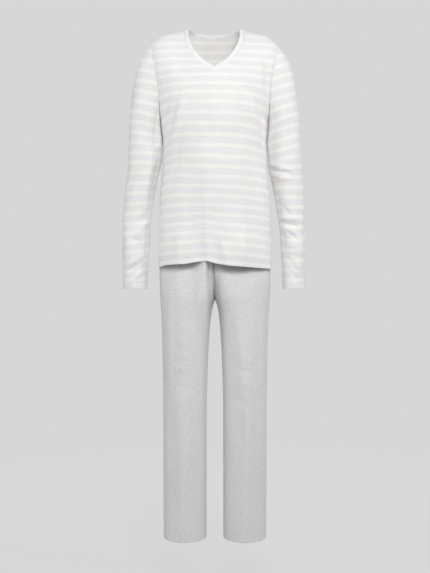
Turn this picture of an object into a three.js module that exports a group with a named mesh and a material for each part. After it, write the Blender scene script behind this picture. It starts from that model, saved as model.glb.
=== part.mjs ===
// A pyjama set as it is worn, with no wearer in it: a long-sleeve V-neck top over straight
// jersey trousers. Millimetres, +Z up. The front faces -Y, and +X is the wearer's left.
// The origin lies on the midline at the height of the neck points of the shoulders.

import * as THREE from 'three';

// Cloth
const JERSEY = 1.4;        // wall of a single layer, as it stands off the figure
const TURNED_HEM = 2.4;    // wall where the hem is turned up
const HEM_TURN = { full: 13, end: 26 };   // the doubled wall thins out between these heights
const BAND = 2.0;          // wall of the folded neck band
const ELASTIC = 3.0;       // wall of the elasticated waistband
const SEAM_GAP = 0.3;      // between two pieces at a seam
const HALF_GAP = SEAM_GAP / 2;
const ANGLE_GAP = 0.6;     // where the two pieces meet at an angle

// Top: heights and cut
const CHEST = -235;        // the fullest level of the chest
const ARMPIT = -270;       // the lowest point of the armhole
const FRONT_COLUMNS = 11;  // of a panel's grid, in each half
const BACK_COLUMNS = 11;   // in each half, the fifth at the neck point
const NECK_COLUMN = 5;
const SHOULDER_TIP = { x: 186, slope: 0.25, roundFrom: 140, round: 0.0118 };
const NECK_POINT = SHOULDER_TIP.x * NECK_COLUMN / BACK_COLUMNS;
const NECK = {
  seam: NECK_POINT, edge: 73.5, seamDrop: 141, edgeDrop: 125, curve: 2.35, top: 2.5,
};
const BACK_NECK = { drop: 13, bandHeight: 10, bandFlat: 0.7, bandLean: 0.94, rise: 31, curve: 2.2 };
const CHEST_FALL = {   // how the cloth falls away from the shoulder line, by the neck and at the tip
  front: { neckRise: 1.6, neckFall: 0.77, tipRise: 2.3, tipFall: 0.5 },
  back: { neckRise: 2.4, neckFall: 0.6, tipRise: 2.6, tipFall: 0.48 },
};
const LEAN = 2.5;          // how far the shoulders stand to the wearer's right of the hem
const TOP_FOOT = -677;     // the height of the hem at the sides

// Half the width between the side seams, the depth before and behind them, and how round the
// section is. Above the armpit the section is wider than the cloth, which ends at the armhole.
const BODY = [
  { z: 20, width: 212, front: 112, back: 92, bend: 0.45 },
  { z: -52, width: 206, front: 112, back: 92, bend: 0.45 },
  { z: -100, width: 194, front: 112, back: 92, bend: 0.45 },
  { z: -151, width: 180, front: 113, back: 92, bend: 0.45 },
  { z: -200, width: 168, front: 114, back: 92, bend: 0.45 },
  { z: -235, width: 160, front: 115, back: 91, bend: 0.46 },
  { z: -270, width: 153, front: 114, back: 90, bend: 0.47 },
  { z: -342, width: 147, front: 110, back: 88, bend: 0.46 },
  { z: -390, width: 148, front: 107, back: 90, bend: 0.45 },
  { z: -441, width: 153, front: 104, back: 95, bend: 0.44 },
  { z: -500, width: 157, front: 101, back: 103, bend: 0.43 },
  { z: -570, width: 159.5, front: 99, back: 112, bend: 0.41 },
  { z: -677, width: 161, front: 98, back: 117, bend: 0.39 },
];

// The armhole as the front view shows it
const ARMHOLE = [
  { z: -51, x: 186 },
  { z: -71, x: 180 },
  { z: -100, x: 174 },
  { z: -128, x: 167 },
  { z: -155, x: 160.5 },
  { z: -200, x: 156 },
  { z: -240, x: 154.5 },
  { z: -270, x: 153 },
];

// Heights of the rows of a panel of the top, at its outer edge and at its middle or neckline
const PANEL_ROWS = { body: 13, chest: 5, neck: 6 };
const ROW_LEVELS = {
  front: { foot: -662, armpit: -262, neck: -NECK.seamDrop },
  back: { foot: -676, armpit: -256, neck: -140 },
};
const ROW_BOW = 1.4;       // how a row's height runs from the middle to its outer edge
const TO_SHOULDER = {      // rows before the neck from which they bend to the shoulder line
  front: { lead: 0, pace: 3 },
  back: { lead: 2, pace: 1.5 },
};

// The front hem's height across the body: it rides up right of the middle
const FRONT_HEM = [
  { x: -161, z: -677 },
  { x: -128, z: -671 },
  { x: -85, z: -669 },
  { x: -52, z: -663.5 },
  { x: -28, z: -660.5 },
  { x: 0, z: -667 },
  { x: 43, z: -674 },
  { x: 100, z: -678 },
  { x: 161, z: -682 },
];

// Sleeves below the armhole: the middle of each ring, and half its width and depth
const BICEP = -330;
const CUFF = -737;
const SLEEVES = {
  right: [
    { z: -330, x: 198.5, y: 2, width: 46.5, depth: 50 },
    { z: -385, x: 201.5, y: 4, width: 46, depth: 50 },
    { z: -433, x: 208, y: 5, width: 44, depth: 48 },
    { z: -484, x: 215.8, y: 4, width: 42, depth: 46 },
    { z: -547, x: 222, y: 0, width: 40.5, depth: 43 },
    { z: -627, x: 224.3, y: -8, width: 38.5, depth: 40 },
    { z: -684, x: 225.5, y: -14, width: 36, depth: 38 },
    { z: -737, x: 225.8, y: -19, width: 33.5, depth: 36 },
  ],
  left: [
    { z: -330, x: 199.5, y: 2, width: 47, depth: 50 },
    { z: -385, x: 203, y: 4, width: 46, depth: 50 },
    { z: -433, x: 208.5, y: 5, width: 44.5, depth: 48 },
    { z: -484, x: 213.5, y: 3, width: 41.5, depth: 46 },
    { z: -547, x: 218.5, y: -2, width: 37.5, depth: 42 },
    { z: -627, x: 222, y: -11, width: 34, depth: 39 },
    { z: -684, x: 222.8, y: -17, width: 32.5, depth: 37 },
    { z: -737, x: 222.6, y: -22, width: 31.5, depth: 35 },
  ],
};
const CAP_ROWS = 8;        // from the armhole to the upper arm
const ARM_ROWS = 14;       // from the upper arm to the cuff
const CAP_START = { top: 1.05, bottom: 0.06, reach: 0.75, end: 10 };

// Trousers
const WAIST = { top: -480, foot: -515 };
const FORK = -764;         // where the legs part
const TROUSER_FOOT = -1443;
const LEG_ROWS = { seat: 8, leg: 18, pace: 0.85 };
const LEG_COLUMNS = 9;
const HIP_BEND = 0.45;     // how round a section of the seat is
const DIVIDE = { from: -610, to: -776 };   // heights between which the seat turns into two legs
const FRONT_RISE = { start: -640, bend: 1.5 };
const BACK_RISE = { start: -640, bend: 2.4 };
const TROUSERS = [
  { z: -480, width: 128, gap: 0, front: 83, back: 82, crown: 4 },
  { z: -515, width: 130, gap: 0, front: 84, back: 84, crown: 4 },
  { z: -560, width: 143, gap: 0, front: 87, back: 94, crown: 4 },
  { z: -620, width: 156.2, gap: 0, front: 86, back: 102, crown: 4 },
  { z: -676, width: 158, gap: 0, front: 85.5, back: 105, crown: 6 },
  { z: -720, width: 157.4, gap: 0, front: 86.5, back: 105, crown: 5 },
  { z: -764, width: 156, gap: 0, front: 88, back: 103, crown: 3.6 },
  { z: -786, width: 154.6, gap: 6, front: 86.5, back: 100, crown: 3 },
  { z: -812, width: 153, gap: 11, front: 85, back: 97, crown: 2.6 },
  { z: -864, width: 151, gap: 15.5, front: 83, back: 92, crown: 2.2 },
  { z: -940, width: 149.4, gap: 19.5, front: 81, back: 87, crown: 2 },
  { z: -1054, width: 147.5, gap: 22.8, front: 80, back: 84, crown: 2 },
  { z: -1200, width: 147, gap: 23.4, front: 79, back: 82, crown: 2 },
  { z: -1443, width: 146, gap: 23.6, front: 78, back: 80, crown: 2 },
];
const WAISTBAND_STEPS = 44;

const FOLD_END = 0.84;     // of the way to a side seam, where a panel's folds fade out
const LEG_FOLD_START = 60; // below the waistband, where the trousers' folds are full

// The largest folds, each a soft ridge (or trough, where lift is below zero) between two
// points of its piece's front view: across and up for a panel, degrees round and up for a sleeve
const TOP_FOLDS = {
  front: [
    { x1: -149, z1: -318, x2: -108, z2: -225, spread: 11, lift: -4 },
    { x1: -136, z1: -322, x2: -92, z2: -222, spread: 13, lift: 4.5 },
    { x1: 118, z1: -216, x2: 146, z2: -345, spread: 10, lift: -4 },
    { x1: 104, z1: -222, x2: 132, z2: -350, spread: 13, lift: 4 },
    { x1: 148, z1: -90, x2: 141, z2: -215, spread: 9, lift: -4 },
    { x1: -92, z1: -470, x2: -104, z2: -664, spread: 22, lift: 4 },
    { x1: -36, z1: -560, x2: -32, z2: -664, spread: 18, lift: 5 },
    { x1: 62, z1: -500, x2: 78, z2: -672, spread: 24, lift: 4 },
    { x1: 18, z1: -470, x2: 16, z2: -664, spread: 20, lift: -3.5 },
  ],
  back: [
    { x1: -96, z1: -300, x2: -40, z2: -345, spread: 16, lift: 4 },
    { x1: 92, z1: -312, x2: 30, z2: -352, spread: 16, lift: 4 },
    { x1: -70, z1: -440, x2: -84, z2: -668, spread: 24, lift: 5 },
    { x1: 4, z1: -400, x2: 8, z2: -668, spread: 22, lift: -4 },
    { x1: 78, z1: -450, x2: 92, z2: -668, spread: 24, lift: 5 },
  ],
};
const SLEEVE_FOLDS = {
  right: [
    { around: 205, z1: -372, z2: -500, spread: 18, lift: -3.5 },
    { around: 242, z1: -350, z2: -520, spread: 20, lift: 3 },
    { around: 300, z1: -560, z2: -700, spread: 22, lift: 2.5 },
    { around: 80, z1: -380, z2: -560, spread: 26, lift: 3 },
  ],
  left: [
    { around: 215, z1: -350, z2: -450, spread: 18, lift: -3 },
    { around: 255, z1: -392, z2: -520, spread: 20, lift: 3 },
    { around: 300, z1: -530, z2: -690, spread: 22, lift: 2.5 },
    { around: 100, z1: -380, z2: -560, spread: 26, lift: 3 },
  ],
};
const TROUSER_FOLDS = {
  front: [
    { x1: -66, z1: -670, x2: -70, z2: -850, spread: 14, lift: -3.5 },
    { x1: 74, z1: -670, x2: 78, z2: -900, spread: 15, lift: -3 },
    { x1: -88, z1: -980, x2: -92, z2: -1420, spread: 17, lift: 4.5 },
    { x1: 92, z1: -960, x2: 90, z2: -1420, spread: 17, lift: 4.5 },
    { x1: -118, z1: -1080, x2: -116, z2: -1430, spread: 13, lift: -3 },
    { x1: 120, z1: -900, x2: 118, z2: -1400, spread: 13, lift: -3 },
  ],
  back: [
    { x1: -60, z1: -830, x2: -72, z2: -1000, spread: 18, lift: -4 },
    { x1: 60, z1: -830, x2: 74, z2: -1010, spread: 18, lift: -4 },
    { x1: -86, z1: -1000, x2: -90, z2: -1420, spread: 19, lift: 5 },
    { x1: 88, z1: -1010, x2: 88, z2: -1420, spread: 19, lift: 5 },
  ],
};


// A column of a table at a height or place, by a smooth curve through its rows
function read(table, column, at, key = 'z') {
  const rising = table[0][key] < table[table.length - 1][key];
  const rows = rising ? table : [...table].reverse();
  if (at <= rows[0][key]) return rows[0][column];
  if (at >= rows[rows.length - 1][key]) return rows[rows.length - 1][column];
  const i = rows.findIndex((row) => row[key] > at) - 1;
  const [a, b] = [rows[i], rows[i + 1]];
  const slope = (p, q) => (q[column] - p[column]) / (q[key] - p[key]);
  const here = slope(a, b);
  const before = i > 0 ? slope(rows[i - 1], a) : here;
  const after = i + 2 < rows.length ? slope(b, rows[i + 2]) : here;
  const ease = (p, q) => (p * q > 0 ? (2 * p * q) / (p + q) : 0);
  const span = b[key] - a[key];
  const t = (at - a[key]) / span;
  const s = 1 - t;
  return a[column] * (1 + 2 * t) * s * s + b[column] * (1 + 2 * s) * t * t
    + span * (ease(before, here) * t * s * s - ease(here, after) * t * t * s);
}

const mix = THREE.MathUtils.lerp;
const smooth = THREE.MathUtils.smoothstep;

// How far a list of folds lifts the cloth at a place
function foldLift(folds, x, z) {
  return folds.reduce((sum, fold) => {
    const along = new THREE.Vector2(fold.x2 - fold.x1, fold.z2 - fold.z1);
    const offset = new THREE.Vector2(x - fold.x1, z - fold.z1);
    const length = along.length();
    const t = offset.dot(along) / (length * length);
    const away = offset.cross(along) / length;
    const taper = smooth(t, -0.12, 0.3) * (1 - smooth(t, 0.75, 1.12));
    return sum + fold.lift * taper * Math.exp(-((away / fold.spread) ** 2));
  }, 0);
}

// A sheet of cloth: points with outward normals and a thickness, and faces over them
class Cloth {
  constructor(name, colour) {
    this.name = name;
    this.colour = colour;
    this.points = [];
    this.walls = [];
    this.fixes = new Map();
    this.faces = [];
  }

  add(point, wall = JERSEY) {
    this.points.push(point);
    this.walls.push(wall);
    return this.points.length - 1;
  }

  // The wall at a seam doesn't lean over to the other piece: own points to this piece's side
  seam(index, own) {
    this.fixes.set(index, [...(this.fixes.get(index) ?? []), own]);
  }

  quad(a, b, c, d) {
    this.faces.push([a, b, c], [a, c, d]);
  }

  // Faces over a grid of indices: rows go up, and columns to the right as seen from outside
  grid(rows, closed = false) {
    for (let i = 0; i + 1 < rows.length; i += 1) {
      const last = closed ? rows[i].length : rows[i].length - 1;
      for (let j = 0; j < last; j += 1) {
        const k = (j + 1) % rows[i].length;
        this.quad(rows[i][j], rows[i][k], rows[i + 1][k], rows[i + 1][j]);
      }
    }
  }

  normals() {
    const sums = this.points.map(() => new THREE.Vector3());
    for (const [a, b, c] of this.faces) {
      const [p, q, r] = [this.points[a], this.points[b], this.points[c]];
      const area = q.clone().sub(p).cross(r.clone().sub(p));
      for (const index of [a, b, c]) sums[index].add(area);
    }
    for (const sum of sums) sum.normalize();
    for (const [index, sides] of this.fixes) {
      for (const own of sides) {
        const over = Math.max(0, sums[index].dot(own));
        sums[index].addScaledVector(own, -over).normalize();
      }
    }
    return sums;
  }

  // The closed wall: the outer side, the inner side, and a rim along every open edge
  mesh() {
    const normals = this.given ?? this.normals();
    const count = this.points.length;
    const inner = this.points.map((p, i) => p.clone().addScaledVector(normals[i], -this.walls[i]));
    const index = [];
    const open = new Map();
    for (const face of this.faces) {
      index.push(...face, face[2] + count, face[1] + count, face[0] + count);
      face.forEach((a, k) => {
        const b = face[(k + 1) % 3];
        if (!open.delete(`${b},${a}`)) open.set(`${a},${b}`, [a, b]);
      });
    }
    for (const [a, b] of open.values()) {
      index.push(b, a, a + count, b, a + count, b + count);
    }
    const geometry = new THREE.BufferGeometry().setFromPoints([...this.points, ...inner]);
    geometry.setIndex(index);
    geometry.computeVertexNormals();
    const material = new THREE.MeshStandardMaterial({
      color: this.colour, roughness: 0.92, metalness: 0,
    });
    const mesh = new THREE.Mesh(geometry, material);
    mesh.name = this.name;
    return mesh;
  }
}

const FRONT = { side: -1, depth: 'front' };
const BACK = { side: 1, depth: 'back' };

// The shoulder line, and its run on over the neck, where the back climbs towards the nape
function shoulderLine(x, half) {
  const out = Math.abs(x);
  const tip = SHOULDER_TIP;
  const drop = tip.slope * (out - NECK.seam) + tip.round * Math.max(0, out - tip.roundFrom) ** 2;
  const rise = half === BACK ? BACK_NECK.rise * Math.max(0, 1 - (out / NECK.seam) ** 2) : 0;
  return rise - drop - NECK.top;
}

// How far the cloth of the top lies before or behind the side seams
function bodyDepth(half, x, z) {
  const width = read(BODY, 'width', z);
  const across = Math.max(0, 1 - (x / width) ** 2) ** read(BODY, 'bend', z);
  const full = read(BODY, half.depth, Math.min(z, CHEST)) * across;
  if (z <= CHEST) return full;
  const t = Math.min(1, (z - CHEST) / (shoulderLine(x, half) - CHEST));
  const { neckRise, neckFall, tipRise, tipFall } = CHEST_FALL[half.depth];
  const outward = smooth(Math.abs(x), NECK.edge, SHOULDER_TIP.x);
  return full * (1 - t ** mix(neckRise, tipRise, outward)) ** mix(neckFall, tipFall, outward);
}

function lean(point) {
  point.x -= LEAN * THREE.MathUtils.clamp(1 - point.z / TOP_FOOT, 0, 1);
  return point;
}

// A point of the top's body; folds fade out towards its seams
function bodyPoint(half, x, z, keep = 1) {
  const depth = bodyDepth(half, x, z);
  const lift = keep > 0 ? keep * foldLift(TOP_FOLDS[half.depth], x, z) : 0;
  const away = Math.max(HALF_GAP, depth);
  return new THREE.Vector3(x, half.side * (away + lift), z);
}

// Heights of the rows at the outer edge: the hem, the armpit and the shoulder tip
function outerLevels() {
  const { body, chest, neck } = PANEL_ROWS;
  const above = chest + neck;
  const tip = shoulderLine(SHOULDER_TIP.x, FRONT);
  const levels = [];
  for (let i = 0; i <= body; i += 1) levels.push(mix(TOP_FOOT, ARMPIT, i / body));
  for (let i = 1; i <= above; i += 1) levels.push(mix(ARMPIT, tip, i / above));
  return levels;
}

// Heights of the rows at the middle, up to the neckline
function innerLevels(half) {
  const { body, chest, neck } = PANEL_ROWS;
  const { foot, armpit, neck: point } = ROW_LEVELS[half.depth];
  const levels = [];
  for (let i = 0; i <= body; i += 1) levels.push(mix(foot, armpit, i / body));
  for (let i = 1; i <= chest; i += 1) levels.push(mix(armpit, point, i / chest));
  for (let i = 1; i <= neck; i += 1) {
    const up = half === FRONT ? -NECK.top : -BACK_NECK.drop;
    levels.push(mix(point, up, i / neck));
  }
  return levels;
}

function neckSeam(z) {
  return NECK.seam * (1 - Math.min(1, (z + NECK.top) / (NECK.top - NECK.seamDrop)) ** NECK.curve);
}

function backNeckSeam(x) {
  const rise = BACK_NECK.drop - NECK.top;
  return -BACK_NECK.drop + rise * (Math.abs(x) / NECK.seam) ** BACK_NECK.curve;
}

function hemWall(z, foot) {
  return mix(TURNED_HEM, JERSEY, smooth(z - foot, HEM_TURN.full, HEM_TURN.end));
}

// The place of one grid point on one half of the top's front or back
function topPlace(half, row, fraction, levels, sign) {
  const outerZ = levels.outer[row];
  const innerZ = levels.inner[row];
  const top = levels.outer.length - 1;
  const neckRow = PANEL_ROWS.body + PANEL_ROWS.chest;
  const width = read(BODY, 'width', outerZ);
  const edgeX = outerZ < ARMPIT ? width : read(ARMHOLE, 'x', outerZ);
  const onNeckline = half === FRONT && row > neckRow;
  const innerX = onNeckline ? neckSeam(innerZ) : 0;
  const turn = mix(Math.asin(innerX / width), Math.asin(Math.min(1, edgeX / width)), fraction);
  const even = mix(innerX, edgeX, fraction);
  const x = mix(width * Math.sin(turn), even, smooth(row, PANEL_ROWS.body, top - 1));
  if (onNeckline && fraction === 0) return { x: sign * x, z: innerZ };
  const { lead, pace } = TO_SHOULDER[half.depth];
  const seamZ = half === BACK && x <= NECK.seam ? backNeckSeam(x) : shoulderLine(x, half);
  const level = mix(innerZ, outerZ, fraction ** ROW_BOW);
  const raised = mix(level, seamZ, smooth(row, neckRow - lead, top) ** pace);
  if (half === BACK) return { x: sign * x, z: raised };
  const hemZ = read(FRONT_HEM, 'z', sign * x, 'x') + outerZ - TOP_FOOT;
  return { x: sign * x, z: mix(hemZ, raised, smooth(row, 0, PANEL_ROWS.body)) };
}

// The front or the back of the top: two half grids that share the middle column, with the
// edges that the neck band and the sleeves are sewn to
function topPanel(name, half, colour) {
  const columns = half === FRONT ? FRONT_COLUMNS : BACK_COLUMNS;
  const levels = { outer: outerLevels(), inner: innerLevels(half) };
  const top = levels.outer.length - 1;
  const neckRow = PANEL_ROWS.body + PANEL_ROWS.chest;
  const cloth = new Cloth(name, colour);
  const halves = { left: [], right: [] };
  const neckline = { left: [], right: [] };
  const armhole = { left: [], right: [] };
  const own = new THREE.Vector3(0, half.side, 0);
  const placed = new Map();
  for (let row = 0; row <= top; row += 1) {
    for (const [side, sign] of [['left', 1], ['right', -1]]) {
      const line = [];
      for (let j = 0; j <= columns; j += 1) {
        const shared = j === 0 && (half === BACK || row <= neckRow);
        if (shared && sign < 0) {
          line.push(placed.get(row));
          continue;
        }
        const fraction = j / columns;
        const place = topPlace(half, row, fraction, levels, sign);
        const seamed = row === top && !(half === BACK && j < NECK_COLUMN);
        const keep = smooth(top - row, 0, 2) * (1 - smooth(fraction, FOLD_END, 1));
        const point = bodyPoint(half, place.x, place.z, keep);
        const sideSeam = j === columns && row <= PANEL_ROWS.body;
        if (seamed || sideSeam) point.y = half.side * HALF_GAP;
        const wall = hemWall(place.z, half === FRONT ? read(FRONT_HEM, 'z', place.x, 'x') : TOP_FOOT);
        const index = cloth.add(lean(point), wall);
        if (seamed || sideSeam) cloth.seam(index, own);
        if (j === 0) placed.set(row, index);
        if (j === columns && row >= PANEL_ROWS.body) armhole[side].push(point);
        line.push(index);
      }
      halves[side].push(line);
      if (half === FRONT && row >= neckRow) neckline[side].push(line[0]);
      if (half === BACK && row === top) neckline[side] = line.slice(0, NECK_COLUMN + 1);
    }
  }
  const outward = (rows) => rows.map((row) => [...row].reverse());
  const toRight = half === FRONT ? halves.left : outward(halves.left);
  const toLeft = half === FRONT ? outward(halves.right) : halves.right;
  cloth.grid(toRight);
  cloth.grid(toLeft);
  const normals = cloth.normals();
  const along = (indices) => indices.map((i) => ({ point: cloth.points[i], normal: normals[i] }));
  return {
    cloth,
    armhole,
    neckline: { left: along(neckline.left), right: along(neckline.right) },
  };
}

const group = new THREE.Group();
const STRIPED = 0xdcdade;
const PLAIN = 0xcfced3;

const front = topPanel('top_front', FRONT, STRIPED);
const back = topPanel('top_back', BACK, STRIPED);
group.add(front.cloth.mesh(), back.cloth.mesh());

// The armhole as one ring: up the front from the armpit, over the tip and down the back
function armholeRing(side) {
  const up = front.armhole[side];
  const down = [...back.armhole[side]].reverse();
  const middle = (p) => new THREE.Vector3(p.x, 0, p.z);
  return [middle(up[0]), ...up.slice(1, -1), middle(up[up.length - 1]), ...down.slice(1, -1)];
}

// The turn round the arm of each point of the ring: 180 at the armpit, 270 in front, 360 outside
function ringAngles(ring) {
  const steps = ring.map((p, i) => p.distanceTo(ring[(i + 1) % ring.length]));
  const half = ring.length / 2;
  const total = (from, to) => steps.slice(from, to).reduce((a, b) => a + b, 0);
  return ring.map((_, i) => {
    const part = i <= half
      ? total(0, i) / total(0, half)
      : 1 + total(half, i) / total(half, ring.length);
    return 180 * (1 + part);
  });
}

// A point of a sleeve below the upper arm
function armPoint(side, angle, z) {
  const table = SLEEVES[side];
  const sign = side === 'left' ? 1 : -1;
  const turn = THREE.MathUtils.degToRad(angle);
  const lift = SLEEVE_FOLDS[side].reduce((sum, fold) => {
    const away = ((((angle - fold.around) % 360) + 540) % 360) - 180;
    const t = (z - fold.z1) / (fold.z2 - fold.z1);
    const taper = smooth(t, 0, 0.35) * (1 - smooth(t, 0.7, 1));
    return sum + fold.lift * taper * Math.exp(-((away / fold.spread) ** 2));
  }, 0);
  const out = (column) => read(table, column, z) + lift;
  return lean(new THREE.Vector3(
    sign * (read(table, 'x', z) + out('width') * Math.cos(turn)),
    read(table, 'y', z) + out('depth') * Math.sin(turn),
    z,
  ));
}

// Which way the sleeve leaves the armhole: outward at the shoulder, down at the armpit
function capStart(side, angle) {
  const sign = side === 'left' ? 1 : -1;
  const up = (1 + Math.cos(THREE.MathUtils.degToRad(angle))) / 2;
  return new THREE.Vector3(sign * mix(CAP_START.bottom, CAP_START.top, up), 0, -1).normalize();
}

function sleeve(side) {
  const cloth = new Cloth(`sleeve_${side}`, STRIPED);
  const ring = armholeRing(side);
  const angles = ringAngles(ring);
  const rows = [];
  for (let i = 0; i <= CAP_ROWS; i += 1) {
    const s = i / CAP_ROWS;
    rows.push(ring.map((start, j) => {
      const away = capStart(side, angles[j]);
      const a = start.clone().addScaledVector(away, ANGLE_GAP);
      const b = armPoint(side, angles[j], BICEP);
      const below = armPoint(side, angles[j], BICEP - CAP_START.end);
      const reach = a.distanceTo(b);
      const ta = away.multiplyScalar(reach * CAP_START.reach);
      const tb = below.sub(b).normalize().multiplyScalar(reach);
      const p = new THREE.Vector3()
        .addScaledVector(a, (1 + 2 * s) * (1 - s) ** 2)
        .addScaledVector(ta, s * (1 - s) ** 2)
        .addScaledVector(b, s * s * (3 - 2 * s))
        .addScaledVector(tb, s * s * (s - 1));
      const index = cloth.add(p);
      if (i === 0) cloth.seam(index, capStart(side, angles[j]));
      return index;
    }));
  }
  for (let i = 1; i <= ARM_ROWS; i += 1) {
    const z = mix(BICEP, CUFF, i / ARM_ROWS);
    rows.push(angles.map((angle) => cloth.add(armPoint(side, angle, z), hemWall(z, CUFF))));
  }
  // Seen from above, the ring runs one way round on one arm and the other way on the other
  const upward = [...rows].reverse();
  cloth.grid(side === 'left' ? upward : upward.map((row) => [...row].reverse()), true);
  return cloth.mesh();
}

group.add(sleeve('left'), sleeve('right'));

// The neck band: a ring of sections from the point of the V round by the left shoulder and back.
// Each starts at a point of the neck seam and ends at the neck's edge.
function neckBand() {
  const cloth = new Cloth('neck_band', STRIPED);
  cloth.given = [];
  const sections = [];
  const addSection = ({ point, normal }, edge) => {
    const across = edge.clone().sub(point);
    const level = across.clone().addScaledVector(normal, -across.dot(normal)).normalize();
    const foot = point.clone().addScaledVector(level, ANGLE_GAP);
    const run = across.normalize();
    const face = normal.clone().addScaledVector(run, -normal.dot(run)).normalize();
    const places = [foot, foot.clone().lerp(edge, 0.5), edge];
    sections.push(places.map((place, i) => {
      cloth.given.push(i === 0 ? normal : face);
      return cloth.add(place, BAND);
    }));
  };
  const { neck } = PANEL_ROWS;
  const frontSection = (side, sign, i) => {
    const t = 1 - i / neck;
    const x = NECK.edge * (1 - t ** NECK.curve);
    const z = -NECK.edgeDrop * t;
    const seam = front.neckline[side][i];
    if (i === neck) {
      seam.point.y = 0;
      seam.normal.add(back.neckline[side][NECK_COLUMN].normal).normalize();
    }
    addSection(seam, lean(new THREE.Vector3(sign * x, -bodyDepth(FRONT, x, z), z)));
  };
  const backSection = (side, j) => {
    const seam = back.neckline[side][j];
    const up = BACK_NECK.bandHeight * (1 - BACK_NECK.bandFlat * (j / NECK_COLUMN) ** 2);
    const edge = seam.point.clone().setZ(seam.point.z + up);
    edge.x *= NECK.edge / NECK.seam;
    edge.y *= BACK_NECK.bandLean;
    addSection(seam, edge);
  };
  for (let i = 0; i <= neck; i += 1) frontSection('left', 1, i);
  for (let j = NECK_COLUMN - 1; j >= 0; j -= 1) backSection('left', j);
  for (let j = 1; j < NECK_COLUMN; j += 1) backSection('right', j);
  for (let i = neck; i > 0; i -= 1) frontSection('right', -1, i);
  const rows = [0, 1, 2].map((k) => sections.map((section) => section[k]));
  cloth.grid(rows, true);
  return cloth.mesh();
}

group.add(neckBand());

// How far the trousers lie before or behind the side seams, at a distance from the midline
function trouserDepth(half, out, z) {
  const width = read(TROUSERS, 'width', z);
  const gap = read(TROUSERS, 'gap', z);
  const depth = read(TROUSERS, half.depth, z);
  const hip = Math.max(0, 1 - (out / width) ** 2) ** HIP_BEND;
  const middle = (width + gap) / 2;
  const reach = (width - gap) / 2;
  const rise = half === FRONT ? FRONT_RISE : BACK_RISE;
  const parted = THREE.MathUtils.clamp((rise.start - z) / (rise.start - FORK), 0, 1) ** rise.bend;
  const s = Math.min(1, Math.abs(out - middle) / reach);
  const leg = out > middle
    ? Math.sqrt(1 - s * s)
    : Math.sqrt(Math.max(0, 1 - parted * s ** read(TROUSERS, 'crown', z)));
  return depth * mix(hip, leg, smooth(-z, -DIVIDE.from, -DIVIDE.to));
}

function trouserPanel(side, half) {
  const cloth = new Cloth(`trouser_${half.depth}_${side}`, PLAIN);
  const sign = side === 'left' ? 1 : -1;
  const own = new THREE.Vector3(0, half.side, 0);
  const inward = new THREE.Vector3(sign, 0, 0);
  const down = new THREE.Vector3(0, 0, -1);
  const { seat, leg } = LEG_ROWS;
  const rows = [];
  for (let row = 0; row <= seat + leg; row += 1) {
    const z = row <= leg
      ? mix(TROUSER_FOOT, FORK, (row / leg) ** LEG_ROWS.pace)
      : mix(FORK, WAIST.foot - SEAM_GAP, (row - leg) / seat);
    const width = read(TROUSERS, 'width', z);
    const gap = read(TROUSERS, 'gap', z);
    const divided = smooth(-z, -DIVIDE.from, -DIVIDE.to);
    const line = [];
    for (let j = 0; j <= LEG_COLUMNS; j += 1) {
      const turn = (Math.PI * j) / LEG_COLUMNS;
      const onLeg = (width + gap) / 2 + ((width - gap) / 2) * Math.cos(turn);
      const onHip = width * Math.cos(turn / 2);
      const out = Math.max(HALF_GAP, mix(onHip, onLeg, divided));
      const edge = Math.sin(turn) ** 0.5;
      const crotch = j === LEG_COLUMNS && row > leg;
      const lift = foldLift(TROUSER_FOLDS[half.depth], sign * out, z)
        * (crotch ? 0 : edge) * smooth(-z, -WAIST.foot, LEG_FOLD_START - WAIST.foot);
      const depth = trouserDepth(half, out, z);
      const y = half.side * Math.max(HALF_GAP, depth + lift);
      const index = cloth.add(new THREE.Vector3(sign * out, y, z), hemWall(z, TROUSER_FOOT));
      const sideSeam = j === 0 || (j === LEG_COLUMNS && row <= leg);
      if (sideSeam) {
        cloth.points[index].y = half.side * HALF_GAP;
        cloth.seam(index, own);
      }
      if (j === LEG_COLUMNS && row >= leg) cloth.seam(index, inward);
      if (row === seat + leg) cloth.seam(index, down);
      line.push(index);
    }
    rows.push(line);
  }
  // Columns run from the outside to the midline, which is to the right on one leg only
  const rightward = (half === FRONT) === (side === 'right');
  cloth.grid(rightward ? rows : rows.map((row) => [...row].reverse()));
  return cloth.mesh();
}

for (const side of ['left', 'right']) {
  group.add(trouserPanel(side, FRONT), trouserPanel(side, BACK));
}

function waistband() {
  const cloth = new Cloth('waistband', PLAIN);
  const up = new THREE.Vector3(0, 0, 1);
  const levels = [WAIST.foot, mix(WAIST.foot, WAIST.top, 0.5), WAIST.top];
  const rows = levels.map((z, i) => {
    const line = [];
    for (let k = 0; k < WAISTBAND_STEPS; k += 1) {
      const turn = (2 * Math.PI * k) / WAISTBAND_STEPS;
      const out = read(TROUSERS, 'width', z) * Math.cos(turn);
      const half = Math.sin(turn) < 0 ? FRONT : BACK;
      const depth = trouserDepth(half, Math.abs(out), z);
      const index = cloth.add(new THREE.Vector3(out, half.side * depth, z), ELASTIC);
      if (i === 0) cloth.seam(index, up);
      line.push(index);
    }
    return line;
  });
  cloth.grid(rows, true);
  return cloth.mesh();
}

group.add(waistband());

export default group;
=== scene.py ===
"""Looks of a pyjama set as it is worn, with no wearer in it.

A striped long-sleeve V-neck top of fine jersey hangs over straight plain jersey trousers. Sizes are
millimetres, and the meshes are written in metres. The front faces -Y, +X is the wearer's left, and
the origin lies on the midline at the height of the neck points of the shoulders.
"""

from __future__ import annotations

import logging
import math
from dataclasses import dataclass
from enum import Enum
from typing import NamedTuple, Sequence

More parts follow.
